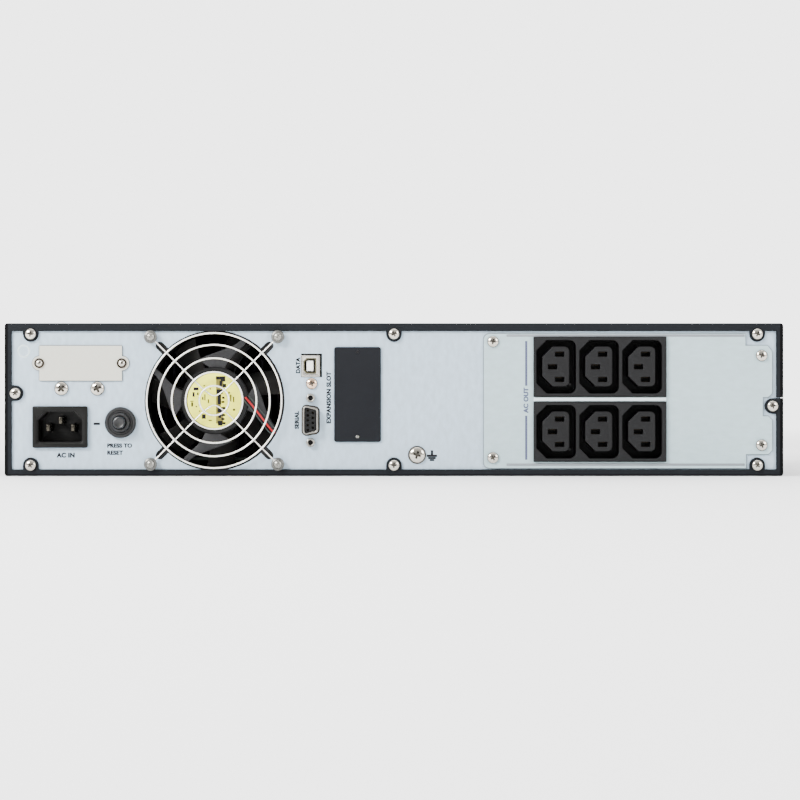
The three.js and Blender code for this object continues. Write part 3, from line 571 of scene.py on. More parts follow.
def make_fan_fasteners():
    for i in range(1, 5):
        node = f"fan_screw_{i}"
        low, high, centre = span(node)
        radius = (high.x - low.x) / 2
        seat = high.y - 2.4
        head = radius * 0.64
        flange = turned(centre.x, centre.z, [
            (head - 0.4, 0), (radius * 0.96, 0), (radius, 0.3), (radius * 0.94, 0.8),
            (head + 0.2, 1.15), (head - 0.4, 0.8)], y0=seat)
        pin = turned(centre.x, centre.z, [
            (0, low.y), (1.2, low.y), (1.5, low.y + 0.8), (1.5, seat), (head, seat),
            *quarter_dome(head, 1.3, seat + 1.1, 10, 8),
            (0.75, seat + 2.35), (0.6, seat + 1.9), (0, seat + 1.8)])
        piece(f"fan_fastener_{i}", [flange, (pin, 1)], ["satin_flange", "satin_fastener"],
              replaces=[node])


# ---- Fan ----

def seen_point(radius, degrees):
    """A point of the fan, by degrees anticlockwise from the right of someone facing the rear."""
    angle = math.radians(degrees)
    return Vector((FAN.x - radius * math.cos(angle), FAN.z + radius * math.sin(angle)))


def strut_outline(outer_degrees, hub_radius, rim_radius, steps=14):
    """A swept arm that is wide at the hub and narrow at the rim."""
    sweep, curl = 33, 1.9

    def bearing(t):
        return outer_degrees + sweep * (1 - min(1, t)) ** curl

    left, right = [], []
    for k in range(steps + 1):
        t = k / steps
        radius = hub_radius + (rim_radius - hub_radius) * t
        half_width = 1.6 + 7.2 * (1 - t) ** 2.8
        middle = seen_point(radius, bearing(t))
        along = (seen_point(radius + 0.5, bearing(t + 0.02)) - middle).normalized()
        across = Vector((-along.y, along.x)) * half_width
        left.append(middle + across)
        right.append(middle - across)
    return left + right[::-1]


def make_fan_frame():
    low, high, _ = span("fan_frame")
    x, z = FAN.x, FAN.z
    size, flange, hub, lip = high.x - low.x, 4.0, 19, FAN_BORE + 1.9
    holes = [circle(x + i * FAN_REACH, z + k * FAN_REACH, 2.2, 24) for i in (-1, 1) for k in (-1, 1)]
    loops = [rectangle(x, z, size, size, 4), circle(x, z, FAN_BORE + 1.5, 96), *holes]
    hub_face = high.y - HUB_DEPTH
    strut_back, strut_face = high.y - 3.8, high.y - 1.2
    parts = [
        plate(loops, high.y - flange, high.y, 0.25),
        plate(loops, low.y, low.y + flange, 0.25),
        turned(x, z, [
            (FAN_BORE, low.y + 0.2), (FAN_BORE, high.y - 0.8), (FAN_BORE + 0.8, high.y - 0.02),
            (lip, high.y - 0.3), (lip, low.y + 0.5)], 96),
        turned(x, z, [
            (0, strut_back), (hub - 0.8, strut_back), (hub, strut_back + 0.8), (hub, hub_face - 0.6),
            (hub - 0.6, hub_face), (16.2, hub_face), (15.9, hub_face - 0.5), (0, hub_face - 0.5)], 72),
    ]
    for degrees in (64, 154, 244, 334):
        loop = strut_outline(degrees, hub - 0.6, FAN_BORE + 0.8)
        parts.append((plate([loop], strut_back, strut_face, 0.3), 1))
    refined("fan_frame", parts, ["fan_plastic", "strut_plastic"])


def make_fan_label():
    """A pale disc with plain blocks, each placed by its middle to the right of the disc's and above it."""
    x, z = FAN.x, FAN.z
    hub_face = span("fan_frame")[1].y - HUB_DEPTH
    face = hub_face - 0.3
    disc = plate([circle(x, z, 15.5, 72)], hub_face - 0.5, face, 0.05)
    piece("fan_label", disc, ["fan_label"])
    band = [(2.0, 0.4, 2.6, 26.6), (4.2, 9.4, 1.4, 8.0), (4.0, -9.8, 1.6, 7.4)]
    column = [(2.0, 12.8, 2.8, 1.8), (4.6, 12.2, 2.6, 3.0), (3.4, 9.6, 1.6, 2.8), (5.4, 8.4, 1.8, 2.0),
              (2.6, 5.0, 3.6, 2.6), (4.8, 6.2, 1.6, 1.6), (2.6, 0.6, 1.9, 5.6), (4.8, 1.6, 1.4, 1.2),
              (4.6, -0.8, 1.6, 1.0), (3.0, -5.2, 3.0, 3.0), (5.2, -4.2, 1.4, 1.4), (2.8, -8.6, 1.7, 2.4),
              (4.8, -8.2, 2.0, 1.2), (4.6, -10.4, 1.8, 1.2), (3.0, -12.8, 2.6, 2.6), (5.2, -12.8, 1.6, 1.2)]
    sparse = [(-10.6, 6.6, 2.8, 1.6), (-12.0, 3.4, 1.2, 2.6), (-9.6, 3.8, 0.9, 1.4), (-13.0, -0.4, 1.8, 0.5),
              (-12.8, -2.2, 1.0, 2.4), (-10.4, -3.4, 0.8, 0.8), (-6.2, -9.0, 2.2, 2.6), (-6.0, 8.4, 0.8, 0.8),
              (-8.6, -6.0, 0.7, 0.7), (-2.6, 6.6, 0.7, 0.7), (-5.6, 1.8, 0.6, 3.4), (-3.6, -0.4, 0.6, 2.2),
              (-8.8, -1.2, 0.6, 3.6), (-6.8, 1.2, 0.8, 1.6), (-2.6, -11.2, 1.8, 0.6), (9.0, 1.4, 0.7, 3.8),
              (10.6, 0.6, 0.6, 3.0), (10.8, -5.2, 1.2, 1.2), (8.0, 4.4, 0.8, 1.2), (7.6, -1.6, 0.5, 4.6)]
    for name, marks, rise, look in (("fan_label_band", band, 0.03, "fan_label_band"),
                                    ("fan_label_marks", column + sparse, 0.06, "black_ink")):
        parts = [flat_bar(x - right, z + up, width, height, face, face + rise)
                 for right, up, width, height in marks]
        piece(name, parts, [look])


def blade_mesh(turn, middle_y):
    """One pitched and cambered blade of the fan, a closed shell of two grids; turn places it on the hub."""
    root, tip, rows, columns = 17.9, 37.0, 10, 12
    lean, camber, half_thickness = 0.16, 1.6, 0.75
    pitch_sine, pitch_cosine = 0.68, 0.73

    def corner(row, column, side):
        share, s = row / rows, 2 * column / columns - 1
        radius = root + (tip - root) * share
        chord = s * (11.2 - 0.4 * share)
        rise = camber * (1 - s * s) + side * half_thickness * math.sqrt(max(0.04, 1 - s * s))
        angle = turn + lean * share + (chord * pitch_cosine + rise * pitch_sine) / (radius + 4)
        y = middle_y + chord * pitch_sine - rise * pitch_cosine
        return [value * MM for value in (FAN.x + radius * math.cos(angle), y,
                                         FAN.z + radius * math.sin(angle))]

    work = bmesh.new()
    back, front = ([[work.verts.new(corner(row, column, side)) for column in range(columns + 1)]
                    for row in range(rows + 1)] for side in (-1, 1))
    bands = [(grid[row], grid[row + 1]) for grid in (back, front) for row in range(rows)]
    bands += [(back[row], front[row]) for row in (0, rows)]
    bands += [([row[column] for row in back], [row[column] for row in front]) for column in (0, columns)]
    for first, second in bands:
        for k in range(len(first) - 1):
            work.faces.new([first[k], first[k + 1], second[k + 1], second[k]])
    bmesh.ops.recalc_face_normals(work, faces=work.faces)
    return finished(work)


def make_fan_rotor():
    low, high, _ = span("fan_rotor")
    hub, inside, axle, blades = 18.5, 16.8, 1.5, 7
    cup = turned(FAN.x, FAN.z, [
        (0, low.y), (16.5, low.y), (17.9, low.y + 0.5), (hub, low.y + 1.8), (hub, high.y - 0.2),
        (18.2, high.y), (17, high.y), (inside, high.y - 0.3), (inside, low.y + 3), (axle, low.y + 3),
        (axle, high.y - 1), (0, high.y - 1)], 72)
    parts = [cup] + [blade_mesh(turn, (low.y + high.y) / 2) for turn in turns(blades)]
    refined("fan_rotor", parts, ["rotor_plastic"], "fan_rotor")


def make_fan_guard():
    low, high, _ = span("fan_guard")
    thick, thin = 0.54, 0.42
    ring_y, wire_y = high.y - thick, low.y + thin + 0.1

    def hoop(dx, dz, radius, y, thickness, sides):
        points = circle(FAN.x + dx, FAN.z + dz, radius, sides)
        return wire([(point.x, y, point.y) for point in points], thickness, closed=True)

    parts = [hoop(0, 0, radius, ring_y, thick, 96) for radius in (37.9, 31.3, 23.8, 16.0, 8.3)]
    reach, bend, apex = FAN_REACH - 1.4, 7.2, 2.7
    flat = [(bend * math.tan(math.radians(t)) / math.tan(math.radians(45)),
             apex + (bend - apex) * (abs(t) / 45) ** 1.9) for t in range(-45, 46, 5)]
    for side in (1, -1):
        route = [(-reach, reach), *flat, (reach, reach)]
        parts.append(wire([(FAN.x + dx, wire_y, FAN.z + side * dz) for dx, dz in route], thin))
    for i in (-1, 1):
        for k in (-1, 1):
            parts.append(hoop(i * FAN_REACH, k * FAN_REACH, 2.7, wire_y, thin, 40))
    grille = merged(parts)
    # painted shade: faces turned away from the rear take the darker copy, leaving a white core
    for face in grille.polygons:
        face.material_index = 1 if face.normal.y < 0.6 else 0
    refined("fan_guard", grille, ["guard_nickel", "guard_wire_shade"], smooth=60)


def smooth_route(points, steps=6):
    """A Catmull-Rom curve through the points."""
    padded = [points[0] * 2 - points[1], *points, points[-1] * 2 - points[-2]]
    smooth = []
    for a, b, c, d in zip(padded, padded[1:], padded[2:], padded[3:]):
        for k in range(steps):
            t = k / steps
            smooth.append(0.5 * (2 * b + (c - a) * t + (2 * a - 5 * b + 4 * c - d) * t * t
                                 + (3 * b - a - 3 * c + d) * t ** 3))
    return smooth + [points[-1]]


def make_fan_leads():
    """Leads from the hub, beside a strut and down into the case, by a route of (right, y, up)."""
    rear = span("fan_frame")[1].y
    face = rear - 1.2
    route = [(17.2, rear + 0.5, 1.9), (20.5, rear + 0.2, -2.0), (26.5, face + 0.8, -9.6),
             (32.6, face + 0.7, -17.2), (37.6, face - 0.6, -18.9), (41.5, face - 2.6, -19.0),
             (43.4, face - 6, -19.0), (43.6, rear - 18, -19.2), (43, rear - 30, -22), (40, rear - 40, -28)]
    for name, offset, radius, look in (("fan_lead_red", 0.0, 0.52, "red_wire"),
                                       ("fan_lead_dark", 1.7, 0.36, "dark_wire"),
                                       ("fan_lead_sense", -1.5, 0.36, "dark_wire")):
        shifted = [Vector((FAN.x - right - offset, y, FAN.z + up + offset * 0.6)) for right, y, up in route]
        piece(name, wire(smooth_route(shifted), radius), [look],
              replaces=[] if offset else ["fan_lead"])


# ---- Mains inlet, outlets, breaker ----

def inlet_outline(x, z, w, h, chamfer):
    """A rectangle of half sizes w and h with its two upper corners cut off."""
    return outline([(x - w, z - h, 1.5), (x + w, z - h, 1.5), (x + w, z + h - chamfer, 0.6),
                    (x + w - chamfer, z + h, 0.6), (x - w + chamfer, z + h, 0.6),
                    (x - w, z + h - chamfer, 0.6)])


def make_inlet():
    _, high, centre = span("inlet_housing")
    x, z = centre.x, centre.z
    back, floor = PANEL_FACE + GAP, high.y - 17
    rim = box_outline("inlet_housing", radius=1.0)
    tub = rectangle(x, z, 27.4, 19.9, 1)
    well, step = inlet_outline(x, z, 12.3, 8.4, 4.6), inlet_outline(x, z, 12.9, 9.0, 4.8)
    pins = [f"inlet_pin_{name}" for name in ("line", "neutral", "earth")]
    slots = [rectangle(place.x, place.z, 2.5, 4.5, 0.3, 3) for place in (span(pin)[2] for pin in pins)]
    parts = [plate([rim, step], back + 1.2, high.y, 0.35),
             plate([rim, well], back, back + 1.3, 0.1),
             plate([tub, well], floor - 1, back + 0.1, 0.1),
             plate([tub, *slots], floor - 5, floor, 0.1)]
    refined("inlet_housing", parts, ["black_plastic"])
    for pin in pins:
        low, high, _ = span(pin)
        blade = block(low.x, high.x, low.y, high.y, low.z, high.z, 0.55, 4)
        refined(pin, blade, ["pin_plate"])


def make_outlets():
    pitch, sockets_x = 24.15, -115.3
    columns = [sockets_x + column * pitch for column in (-1, 0, 1)]
    slot_places = [(-2, 7.1), (-2, -7.1), (2, 0)]
    # recess picks the darker plastic that paints shade into the sockets' hollows
    edge, recess, gold = 1, 2, 3
    for node in ("outlet_block_upper", "outlet_block_lower"):
        _, high, centre = span(node)
        face, floor, z = high.y, high.y - 17, centre.z
        lip, inset = box_outline(node, 0, 0.5, 4), box_outline(node, -1.3, 0.4, 4)
        body = box_outline(node, -1.4)
        moats = [keyed_outline(x, z, 11.2, 15.05, 5.8, 3.9, 0.8) for x in columns]
        parts = [(plate([lip, *moats], PLATE_FACE + GAP, face - 0.25, 0.2, 3), edge),
                 plate([inset, *moats], face - 0.6, face, 0.15, 3),
                 (plate([body, *moats], floor - 1, PLATE_FACE + GAP + 0.1), recess),
                 (plate([body], floor - 6, floor, 0.1), recess)]
        for x in columns:
            slots = [rectangle(x + dx, z + dz, 5.2, 2.8, 0.25, 3) for dx, dz in slot_places]
            core = keyed_outline(x + 0.2, z + 0.2, 7.55, 11.2, 5.8, 2.8, 0.8)
            parts.append(plate([core, *slots], face - 9, face - 0.5, 0.35, 4))
            parts.append((plate([core], floor - 0.5, face - 8.9, 0.1), recess))
            for dx, dz in slot_places:
                for leaf_z in (z + dz - 1.15, z + dz + 1.15):
                    leaf = block(x + dx - 2, x + dx + 2, face - 9.5, face - 7.4,
                                    leaf_z - 0.12, leaf_z + 0.12)
                    parts.append((leaf, gold))
        x = columns[2] - 7.7
        parts.append(turned(x, z - 9.9, [
            (0, -3.2), (0.75, -3.2), (0.75, -2.3), (0.5, -2.1), (0, -2.1)], 20, face))
        parts.append((block(x - 0.4, x + 0.4, face - 16.5, face - 3, z - 10.3, z - 9.5), recess))
        refined(node, parts, ["outlet_plastic", "outlet_edge", "recess_shade_and_dark_insert", "contact_gold"])


def make_breaker():
    look, slot = ["breaker_plastic"], "black_plastic"
    low, high, _ = span("breaker_body")
    nut_low, nut_high, centre = span("breaker_nut")
    button_low, button_high, _ = span("breaker_button")
    x, z = centre.x, centre.z
    outer, button = (nut_high.x - nut_low.x) / 2, (button_high.x - button_low.x) / 2
    back = nut_low.y - nut_high.y
    ring = turned(x, z, [
        (5.7, back), (outer - 0.3, back), (outer, back + 0.5), (outer, -0.7), (outer - 0.6, 0),
        (outer - 1.7, 0), (outer - 2.1, -0.5), (5.9, -0.5), (5.7, -0.8)], 64, nut_high.y)
    refined("breaker_nut", ring, look)
    bush, bush_back, thread_pitch, thread_depth = 5.4, 190, 0.5, 0.22
    threads = []
    for k in range(7):
        y = nut_high.y + 0.1 + k * thread_pitch
        threads += [(bush, y), (bush - thread_depth, y + thread_pitch / 2)]
    neck = turned(x, z, [
        (button + 0.35, bush_back), (bush, PANEL_FACE - 1.6), (bush, nut_high.y - 0.2), *threads,
        (bush - 0.5, high.y), (button + 0.7, high.y), (button + 0.35, high.y - 0.4)], 64)
    case = block(low.x, high.x, low.y, PANEL_FACE - 1.5, low.z, high.z, 0.8)
    refined("breaker_body", [neck, case], look)
    back = button_low.y - button_high.y
    cap = turned(x, z, [
        (0, back), (button, back), (button, -0.7), (button - 0.25, -0.2), (button - 0.8, 0),
        (button - 1.2, -0.15), (0, -0.35)], y0=button_high.y)
    refined("breaker_button", cap, look, "breaker_button")


# ---- Signal ports ----

def serial_outline(x, z, margin):
    """The D shape of a 9-way socket, grown by a margin."""
    w, h, slant, radius = 4.3 + margin, 8.45 + margin, 1.7, 2.0 + margin
    return outline([(x - w, z - h + slant, radius), (x + w, z - h, radius),
                    (x + w, z + h, radius), (x - w, z + h - slant, radius)])


def make_usb():
    low, high, centre = span("usb_shell")
    tongue_low, tongue_high, tongue = span("usb_tongue")
    x, z, opening = centre.x, centre.z, tongue.x

    def mouth(w, h, chamfer):
        return keyed_outline(opening, z, w, h, chamfer, 0.5, 0.4)

    hole, collar = mouth(3.55, 4.4, 1.7), mouth(2.95, 3.8, 1.5)
    rim = box_outline("usb_shell", 0, 0.4, 4)
    parts = [plate([rim, hole], high.y - 0.8, high.y, 0.15),
             plate([rim, rectangle(x, z, 9.1, 10.9, 0.3, 3)], low.y, high.y - 0.75, 0.1),
             # the shell's inside takes the painted-shade plastic
             (plate([rectangle(x, z, 9.05, 10.85), hole], low.y + 2, high.y - 0.8), 1),
             (plate([hole, collar], high.y - 3, high.y - 0.5, 0.1), 2)]
    refined("usb_shell", parts, ["tin_plate", "recess_shade_and_dark_insert", "usb_collar"])
    parts = [block(opening - 1.9, opening + 1.9, tongue_low.y + 2, tongue_high.y, z - 2.9, z + 2.9, 0.2),
             plate([mouth(2.9, 3.75, 1.5)], tongue_low.y, tongue_low.y + 3)]
    for middle in (z - 1.3, z + 1.3):
        for edge in (opening - 1.93, opening + 1.93):
            contact = block(edge - 0.08, edge + 0.08, tongue_low.y + 4, tongue_high.y - 0.8,
                               middle - 0.5, middle + 0.5)
            parts.append((contact, 1))
    refined("usb_tongue", parts, ["white_plastic", "contact_gold"])
    # painted shade: a dark sheet just behind the panel's cut-out, so the gap round the USB shell reads dark
    cutout_shade_sheet = plate([rectangle(x - 0.5, z + 0.3, 12.6, 13.8), rim], PANEL_FACE - 2.4, PANEL_FACE - 1.3)
    piece("usb_cutout_shade", cutout_shade_sheet, ["recess_shade_and_dark_insert"])


def make_serial():
    low, high, centre = span("serial_shell")
    insert_low, insert_high, insert = span("serial_insert")
    x, z, pitch, row_reach = insert.x, centre.z, 2.77, 1.42
    shell, inside = serial_outline(x, z, 0), serial_outline(x, z, -1)
    parts = [
        plate([shell, serial_outline(x, z, -0.95)], high.y - 2, high.y, 0.4, 4),
        plate([shell, serial_outline(x, z, -0.7)], low.y - 0.2, high.y - 1.9, 0.1),
        plate([rectangle(x, z, 12.5, 31, 1), serial_outline(x, z, -0.3)], low.y, low.y + 1, 0.1),
    ]
    refined("serial_shell", parts, ["dull_tin"])
    holes = [(x + side, z + (row - (count - 1) / 2) * pitch)
             for side, count in ((row_reach, 5), (-row_reach, 4)) for row in range(count)]
    face = insert_high.y - 0.5
    parts = [plate([inside] + [circle(*hole, 0.7, 20) for hole in holes], face - 4, face, 0.12),
             plate([inside], insert_low.y, face - 3.9)]
    for hole in holes:
        contact = turned(*hole, [(0.34, -4), (0.5, -4), (0.5, -3), (0.34, -3)], 16, face)
        parts.append((contact, 1))
    refined("serial_insert", parts, ["recess_shade_and_dark_insert", "contact_gold"])
    # painted shade: a dark sheet behind the cut-out and a dark ring on the panel draw the shell's outline
    cutout = serial_outline(x, z, 0.05)
    cutout_shade_sheet = plate([serial_outline(x, z, 1.6), cutout], PANEL_FACE - 1.6, PANEL_FACE - 1.3)
    ring = plate([serial_outline(x, z, 0.85), cutout], PANEL_FACE, PANEL_FACE + 0.12)
    piece("serial_cutout_shade", [cutout_shade_sheet, (ring, 1)], ["recess_shade_and_dark_insert", "screw_recess_shade"])
    jackscrew_reach = 12.55
    for i, side in enumerate((1, -1)):
        nut_z = z + side * jackscrew_reach
        nut = plate([circle(x, nut_z, 2.75, 6), circle(x, nut_z, 1.35, 24)],
                         PANEL_FACE, PANEL_FACE + 3.4, 0.5, 3)
        # painted shade: a dark disc in each nut's bore
        bore_shade = plate([circle(x, nut_z, 1.7, 24)], PANEL_FACE, PANEL_FACE + 1.2)
        piece(f"jackscrew_{i + 1}", [nut, (bore_shade, 1)], ["dull_tin", "recess_shade_and_dark_insert"])


# ---- Printing, pressed marks and small panel details ----

def text_mesh(words, size, y, x, z, upright=False, align="CENTER"):
    """Plain lettering just proud of a face, read by someone facing the rear."""
    rise, stroke, echo = 0.02, 0.046, 0.14
    curve = bpy.data.curves.new("words", "FONT")
    curve.body = words
    curve.size = 1.0
    curve.extrude = rise / size
    curve.offset = stroke
    curve.space_character = 1.08
    curve.align_x = align
    curve.align_y = "CENTER"
    turn = (Matrix.Rotation(math.pi, 4, "Z") @ Matrix.Rotation(math.pi / 2, 4, "X")
            @ Matrix.Scale(size * MM, 4))
    if upright:
        turn = turn @ Matrix.Rotation(math.pi / 2, 4, "Z")
    mesh = curve_mesh(curve, Matrix.Translation((x * MM, (y + rise) * MM, z * MM)) @ turn)
    bold = mesh.copy()
    shift = (0, rise / 2, echo) if upright else (echo, rise / 2, 0)
    bold.transform(Matrix.Translation([value * MM for value in shift]))
    return merged([mesh, bold])


def make_printing():
    for name, words, size, x, z, upright, align in (
            ("word_ac_in", "AC IN", 3.5, 184.6, 11.6, False, "CENTER"),
            ("word_press_to", "PRESS TO", 3.1, 161.4, 17.0, False, "LEFT"),
            ("word_reset", "RESET", 3.1, 161.4, 13.0, False, "LEFT"),
            ("word_data", "DATA", 3.1, 53.9, 62.1, True, "CENTER"),
            ("word_serial", "SERIAL", 3.1, 54.6, 31.4, True, "CENTER"),
            ("word_slot", "EXPANSION SLOT", 3.35, 36.6, 44.0, True, "CENTER")):
        mesh = text_mesh(words, size, PANEL_FACE, x, z, upright, align)
        piece(name, mesh, ["black_ink"])
    dash = plate([rectangle(167.3, 29.4, 3.6, 1.3, 0.2, 3)], PANEL_FACE, PANEL_FACE + INK)
    piece("dash_mark", dash, ["black_ink"])

    x, z = -74.4, 42.6
    piece("word_ac_out", text_mesh("AC OUT", 3.5, PLATE_FACE, x, z, True), ["grey_ink"])
    for i, (z0, z1) in enumerate(((50.8, 76.0), (9.2, 34.0))):
        line = flat_bar(x, (z0 + z1) / 2, 1.25, z1 - z0, PLATE_FACE, PLATE_FACE + INK)
        piece(f"outlet_line_{i + 1}", line, ["grey_ink"])

    x, z = -21.4, 11.3
    bars = [(1.9, 1.3, 2.6), (0.1, 5.8, 1.3), (-1.18, 4.4, 1.1), (-2.34, 2.6, 1.05)]
    symbol = [flat_bar(x, z + up, width, height, PANEL_FACE, PANEL_FACE + INK)
              for up, width, height in bars]
    piece("earth_symbol", symbol, ["black_ink"])


def make_pressed_mark():
    x, z, radius = 208.4, 70.3, 3.7
    mark = turned(x, z, [
        (radius - 1.0, -0.2), (radius, -0.2), (radius, 0.02), (radius - 0.35, 0.3),
        (radius - 0.65, 0.3), (radius - 1.0, 0.02)], y0=PANEL_FACE)
    # painted highlight: the pressed ring is drawn in the lighter zinc
    piece("pressed_mark", mark, ["zinc_lit"])


def make_shadow_lines():
    """Painted shadow lines: thin grey sheets round the blanking plate and the outlet plate, just behind their
    edges.
    """
    looks, slot = ["painted_shadow_line"], "black_plastic"
    back, front, margin = PANEL_FACE + 0.02, PLATE_FACE - 1.02, 0.45
    blank = span("blanking_plate")[2]
    parts = [plate([rectangle(blank.x, blank.z, 46.4, 19.6, 0.6)], back, front, grow=margin)]
    for i, side in enumerate((-1, 1)):
        ear = circle(blank.x + side * BLANKING_REACH, blank.z, 4.4)
        parts.append(plate([ear], back, front - 0.02 - 0.02 * i))
    piece("blanking_plate_shadow_line", parts, looks)
    edge = outline([(-50.6, 4.5, 3), (-50.6, 80, 3), (-197.7, 80), (-197.7, 73.4), (-210.2, 73.4),
                    (-212.7, 70.3), (-212.7, 46.6), (-210.5, 44.4), (-207.5, 44.4), (-207.5, 33.7),
                    (-210.5, 33.7), (-212.7, 31.6), (-212.7, 14.5), (-210.6, 12.3), (-198, 12.3),
                    (-198, 4.5)])
    openings = [box_outline(node, 0.6) for node in ("outlet_block_upper", "outlet_block_lower")]
    piece("outlet_plate_shadow_line", plate([edge, *openings], back, front, grow=margin), looks)


def make_plate_trim():
    """The outlet plate's folded hems and a strip behind the shells' seam in painted shade; painted light
    between its blocks.
    """
    hem_right, hem_left, hem_height = -63.3, -197.3, 1.3
    low, high, _ = span("outlet_plate")
    # painted shade: the hems take the darker zinc
    for i, z in enumerate((high.z - 0.95, low.z + 1.95)):
        loop = rectangle((hem_right + hem_left) / 2, z, hem_right - hem_left, hem_height, 0.3, 3)
        strip = plate([loop], PLATE_FACE - 0.5, PLATE_FACE + 0.3, 0.15)
        piece(f"outlet_plate_hem_{i + 1}", strip, ["zinc_shaded_edge"])
    upper_low, _, upper = span("outlet_block_upper")
    _, lower_high, lower = span("outlet_block_lower")
    gap = upper_low.z - lower_high.z
    # painted light: a lighter zinc strip laid on the plate between the blocks
    divider = block(upper.x - 37.2, upper.x + 37.2, PLATE_FACE - 0.4, PLATE_FACE + 1.2,
                       (upper.z + lower.z - gap) / 2 + 0.2, (upper.z + lower.z + gap) / 2 - 0.2, 0.15)
    piece("outlet_gap_highlight", divider, ["zinc_lit"])
    # painted shade: a dark strip behind the gap where the shells' flanges meet, so the gap reads dark
    seam = 40.9
    seam_shade = block(SHELL_HIGH.x - 3.9, SHELL_HIGH.x - 0.2, PANEL_FACE + 0.35, FLANGE_FACE - 0.15,
                       seam - 0.3, seam + 0.3)
    piece("seam_shade_strip", seam_shade, ["dark_paint"])


# ---- CAD nodes that keep their own shape ----

def finish_node(node, look, bevel, segments=2, edge=None):
    """Gives a CAD node its material and rounded edges, which may have a material of their own."""
    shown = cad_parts[node]
    shown.data.materials.clear()
    shown.data.materials.append(LOOK[look])
    rounding = shown.modifiers.new("edges", "BEVEL")
    rounding.width = bevel * MM
    rounding.segments = segments
    rounding.limit_method = "ANGLE"
    rounding.angle_limit = math.radians(40)
    rounding.harden_normals = True
    if edge:
        shown.data.materials.append(LOOK[edge])
        rounding.material = 1


def finish_nodes():
    # The bevels of the shells, slot cover, rear panel and outlet plate take painted shade; the blanking
    # plate's take a painted highlight.
    for node in ("lower_shell", "upper_shell"):
        finish_node(node, "dark_paint", 0.56, 3, "dark_paint_shaded_edge")
    finish_node("rear_panel", "zinc_panel", 0.2, edge="zinc_shaded_edge")
    finish_node("outlet_plate", "zinc_plate", 0.35, edge="zinc_plate_shaded_edge")
    finish_node("option_slot_cover", "slot_paint", 0.35, edge="dark_paint_shaded_edge")
    finish_node("blanking_plate", "beige_paint", 0.45, 3, "beige_paint_lit_edge")
    for node in ("front_bulkhead", "battery_drawer", "drawer_guide_left", "drawer_guide_right"):
        finish_node(node, "zinc_inside", 0.15)
    finish_node("front_bezel", "bezel_plastic", 0.5, 3)
    finish_node("drawer_fascia", "bezel_plastic", 0.4, 3)
    finish_node("display_window", "window_acrylic", 0.25)
    for name in ("power", "control", "comms", "display"):
        finish_node(f"{name}_board", "solder_mask", 0.1)
    for i in (1, 2):
        finish_node(f"heatsink_{i}", "anodised_heatsink", 0.2)
        finish_node(f"capacitor_{i}", "capacitor_sleeve", 0.4)
    finish_node("transformer", "lacquered_winding", 0.6)
    finish_node("battery_connector", "connector_plastic", 0.6, 3)


# ---- Batteries ----

def make_batteries():
    case, lid, label, band, red, tin = range(6)
    looks = ["battery_case", "battery_lid", "battery_label", "slot_paint", "terminal_red", "tin_plate"]
    for i in (1, 2, 3):
        low, high, _ = span(f"battery_{i}")
        top, end = high.z, high.y - 6
        seam = end - 13
        left, right, near, far = low.x + 16, high.x - 16, low.y + 12, seam - 12
        parts = [
            (block(low.x, high.x, low.y, seam, low.z, top - 0.12, 1.8, 4), case),
            (block(low.x + 0.6, high.x - 0.6, seam - 1, end, low.z + 0.6, top - 0.7, 1.4, 4), lid),
            (block(low.x + 34, high.x - 34, end - 0.4, end + 0.8, low.z + 14, low.z + 40, 0.3), lid),
            (block(left, right, near, far, top - 0.3, top - 0.06, 0.08, 2), label),
            (block(left, right, far - 9, far, top - 0.3, top - 0.03, 0.08, 2), band),
            (block(right - 26, right - 8, near + 8, near + 26, top - 0.3, top), lid),
        ]
        for row, length in enumerate((70, 54, 62, 38)):
            y = near + 8 + 7 * row
            parts.append((block(left + 8, left + 8 + length, y, y + 2.4, top - 0.3, top), lid))
        for x, colour in ((low.x + 14, red), (high.x - 20, lid)):
            z = low.z + 50
            parts += [(block(x - 5, x + 11.3, end - 1, end + 2, z - 6.5, z + 7.5, 0.8), colour),
                      (block(x, x + 6.3, end - 0.5, end + 6, z, z + 0.9, 0.2), tin)]
        refined(f"battery_{i}", parts, looks, "battery_drawer")


# ---- Front details ----

def make_air_filter():
    foam = block(-30, 64, BEZEL_FACE + 3.4, BEZEL_FACE + 9, 11, 75, 0.5)
    piece("air_filter", foam, ["filter_foam"])


def make_display():
    """The bars, the ring and the three lines that the display shows, each printed on the window."""
    low, high, _ = span("display_window")
    y0, y1 = low.y - INK, low.y
    parts = []
    for k in range(5):
        bar = rectangle(low.x + 12 + k * 6, high.z - 12, 4, 5 + 1.2 * k, 0.4, 3)
        parts.append(plate([bar], y0, y1))
    parts.append(plate([circle(high.x - 14, high.z - 13, radius, 48) for radius in (6, 5)], y0, y1))
    for k in range(3):
        parts.append(flat_bar(low.x + 24, low.z + 5 + 4 * k, 30, 1.2, y0, y1))
    piece("display_marks", parts, ["screen_ink"])


def make_lamps_and_trims():
    lamps_x = 186
    for i, (look, z) in enumerate((("green_led", 66), ("amber_led", 58), ("amber_led", 50))):
        dot = turned(lamps_x, z, [(0, 0.5), (1.6, 0.5), (1.6, -0.1), (1.2, -0.4), (0, -0.5)], 32, BEZEL_FACE)
        piece(f"status_lamp_{i + 1}", dot, [look])
    window = span("display_window")[2]
    for name, x, z, width, height, wide in (("display_trim", window.x, window.z, 72.4, 36.4, 1.6),
                                            ("louvre_trim", 16.6, 43, 93, 62, 1.4)):
        loops = [rectangle(x, z, width + 2 * wide, height + 2 * wide, 3), rectangle(x, z, width, height, 2)]
        frame_strip = plate(loops, BEZEL_FACE - 0.5, BEZEL_FACE + 0.3, 0.3, 3)
        piece(name, frame_strip, ["satin_trim"])


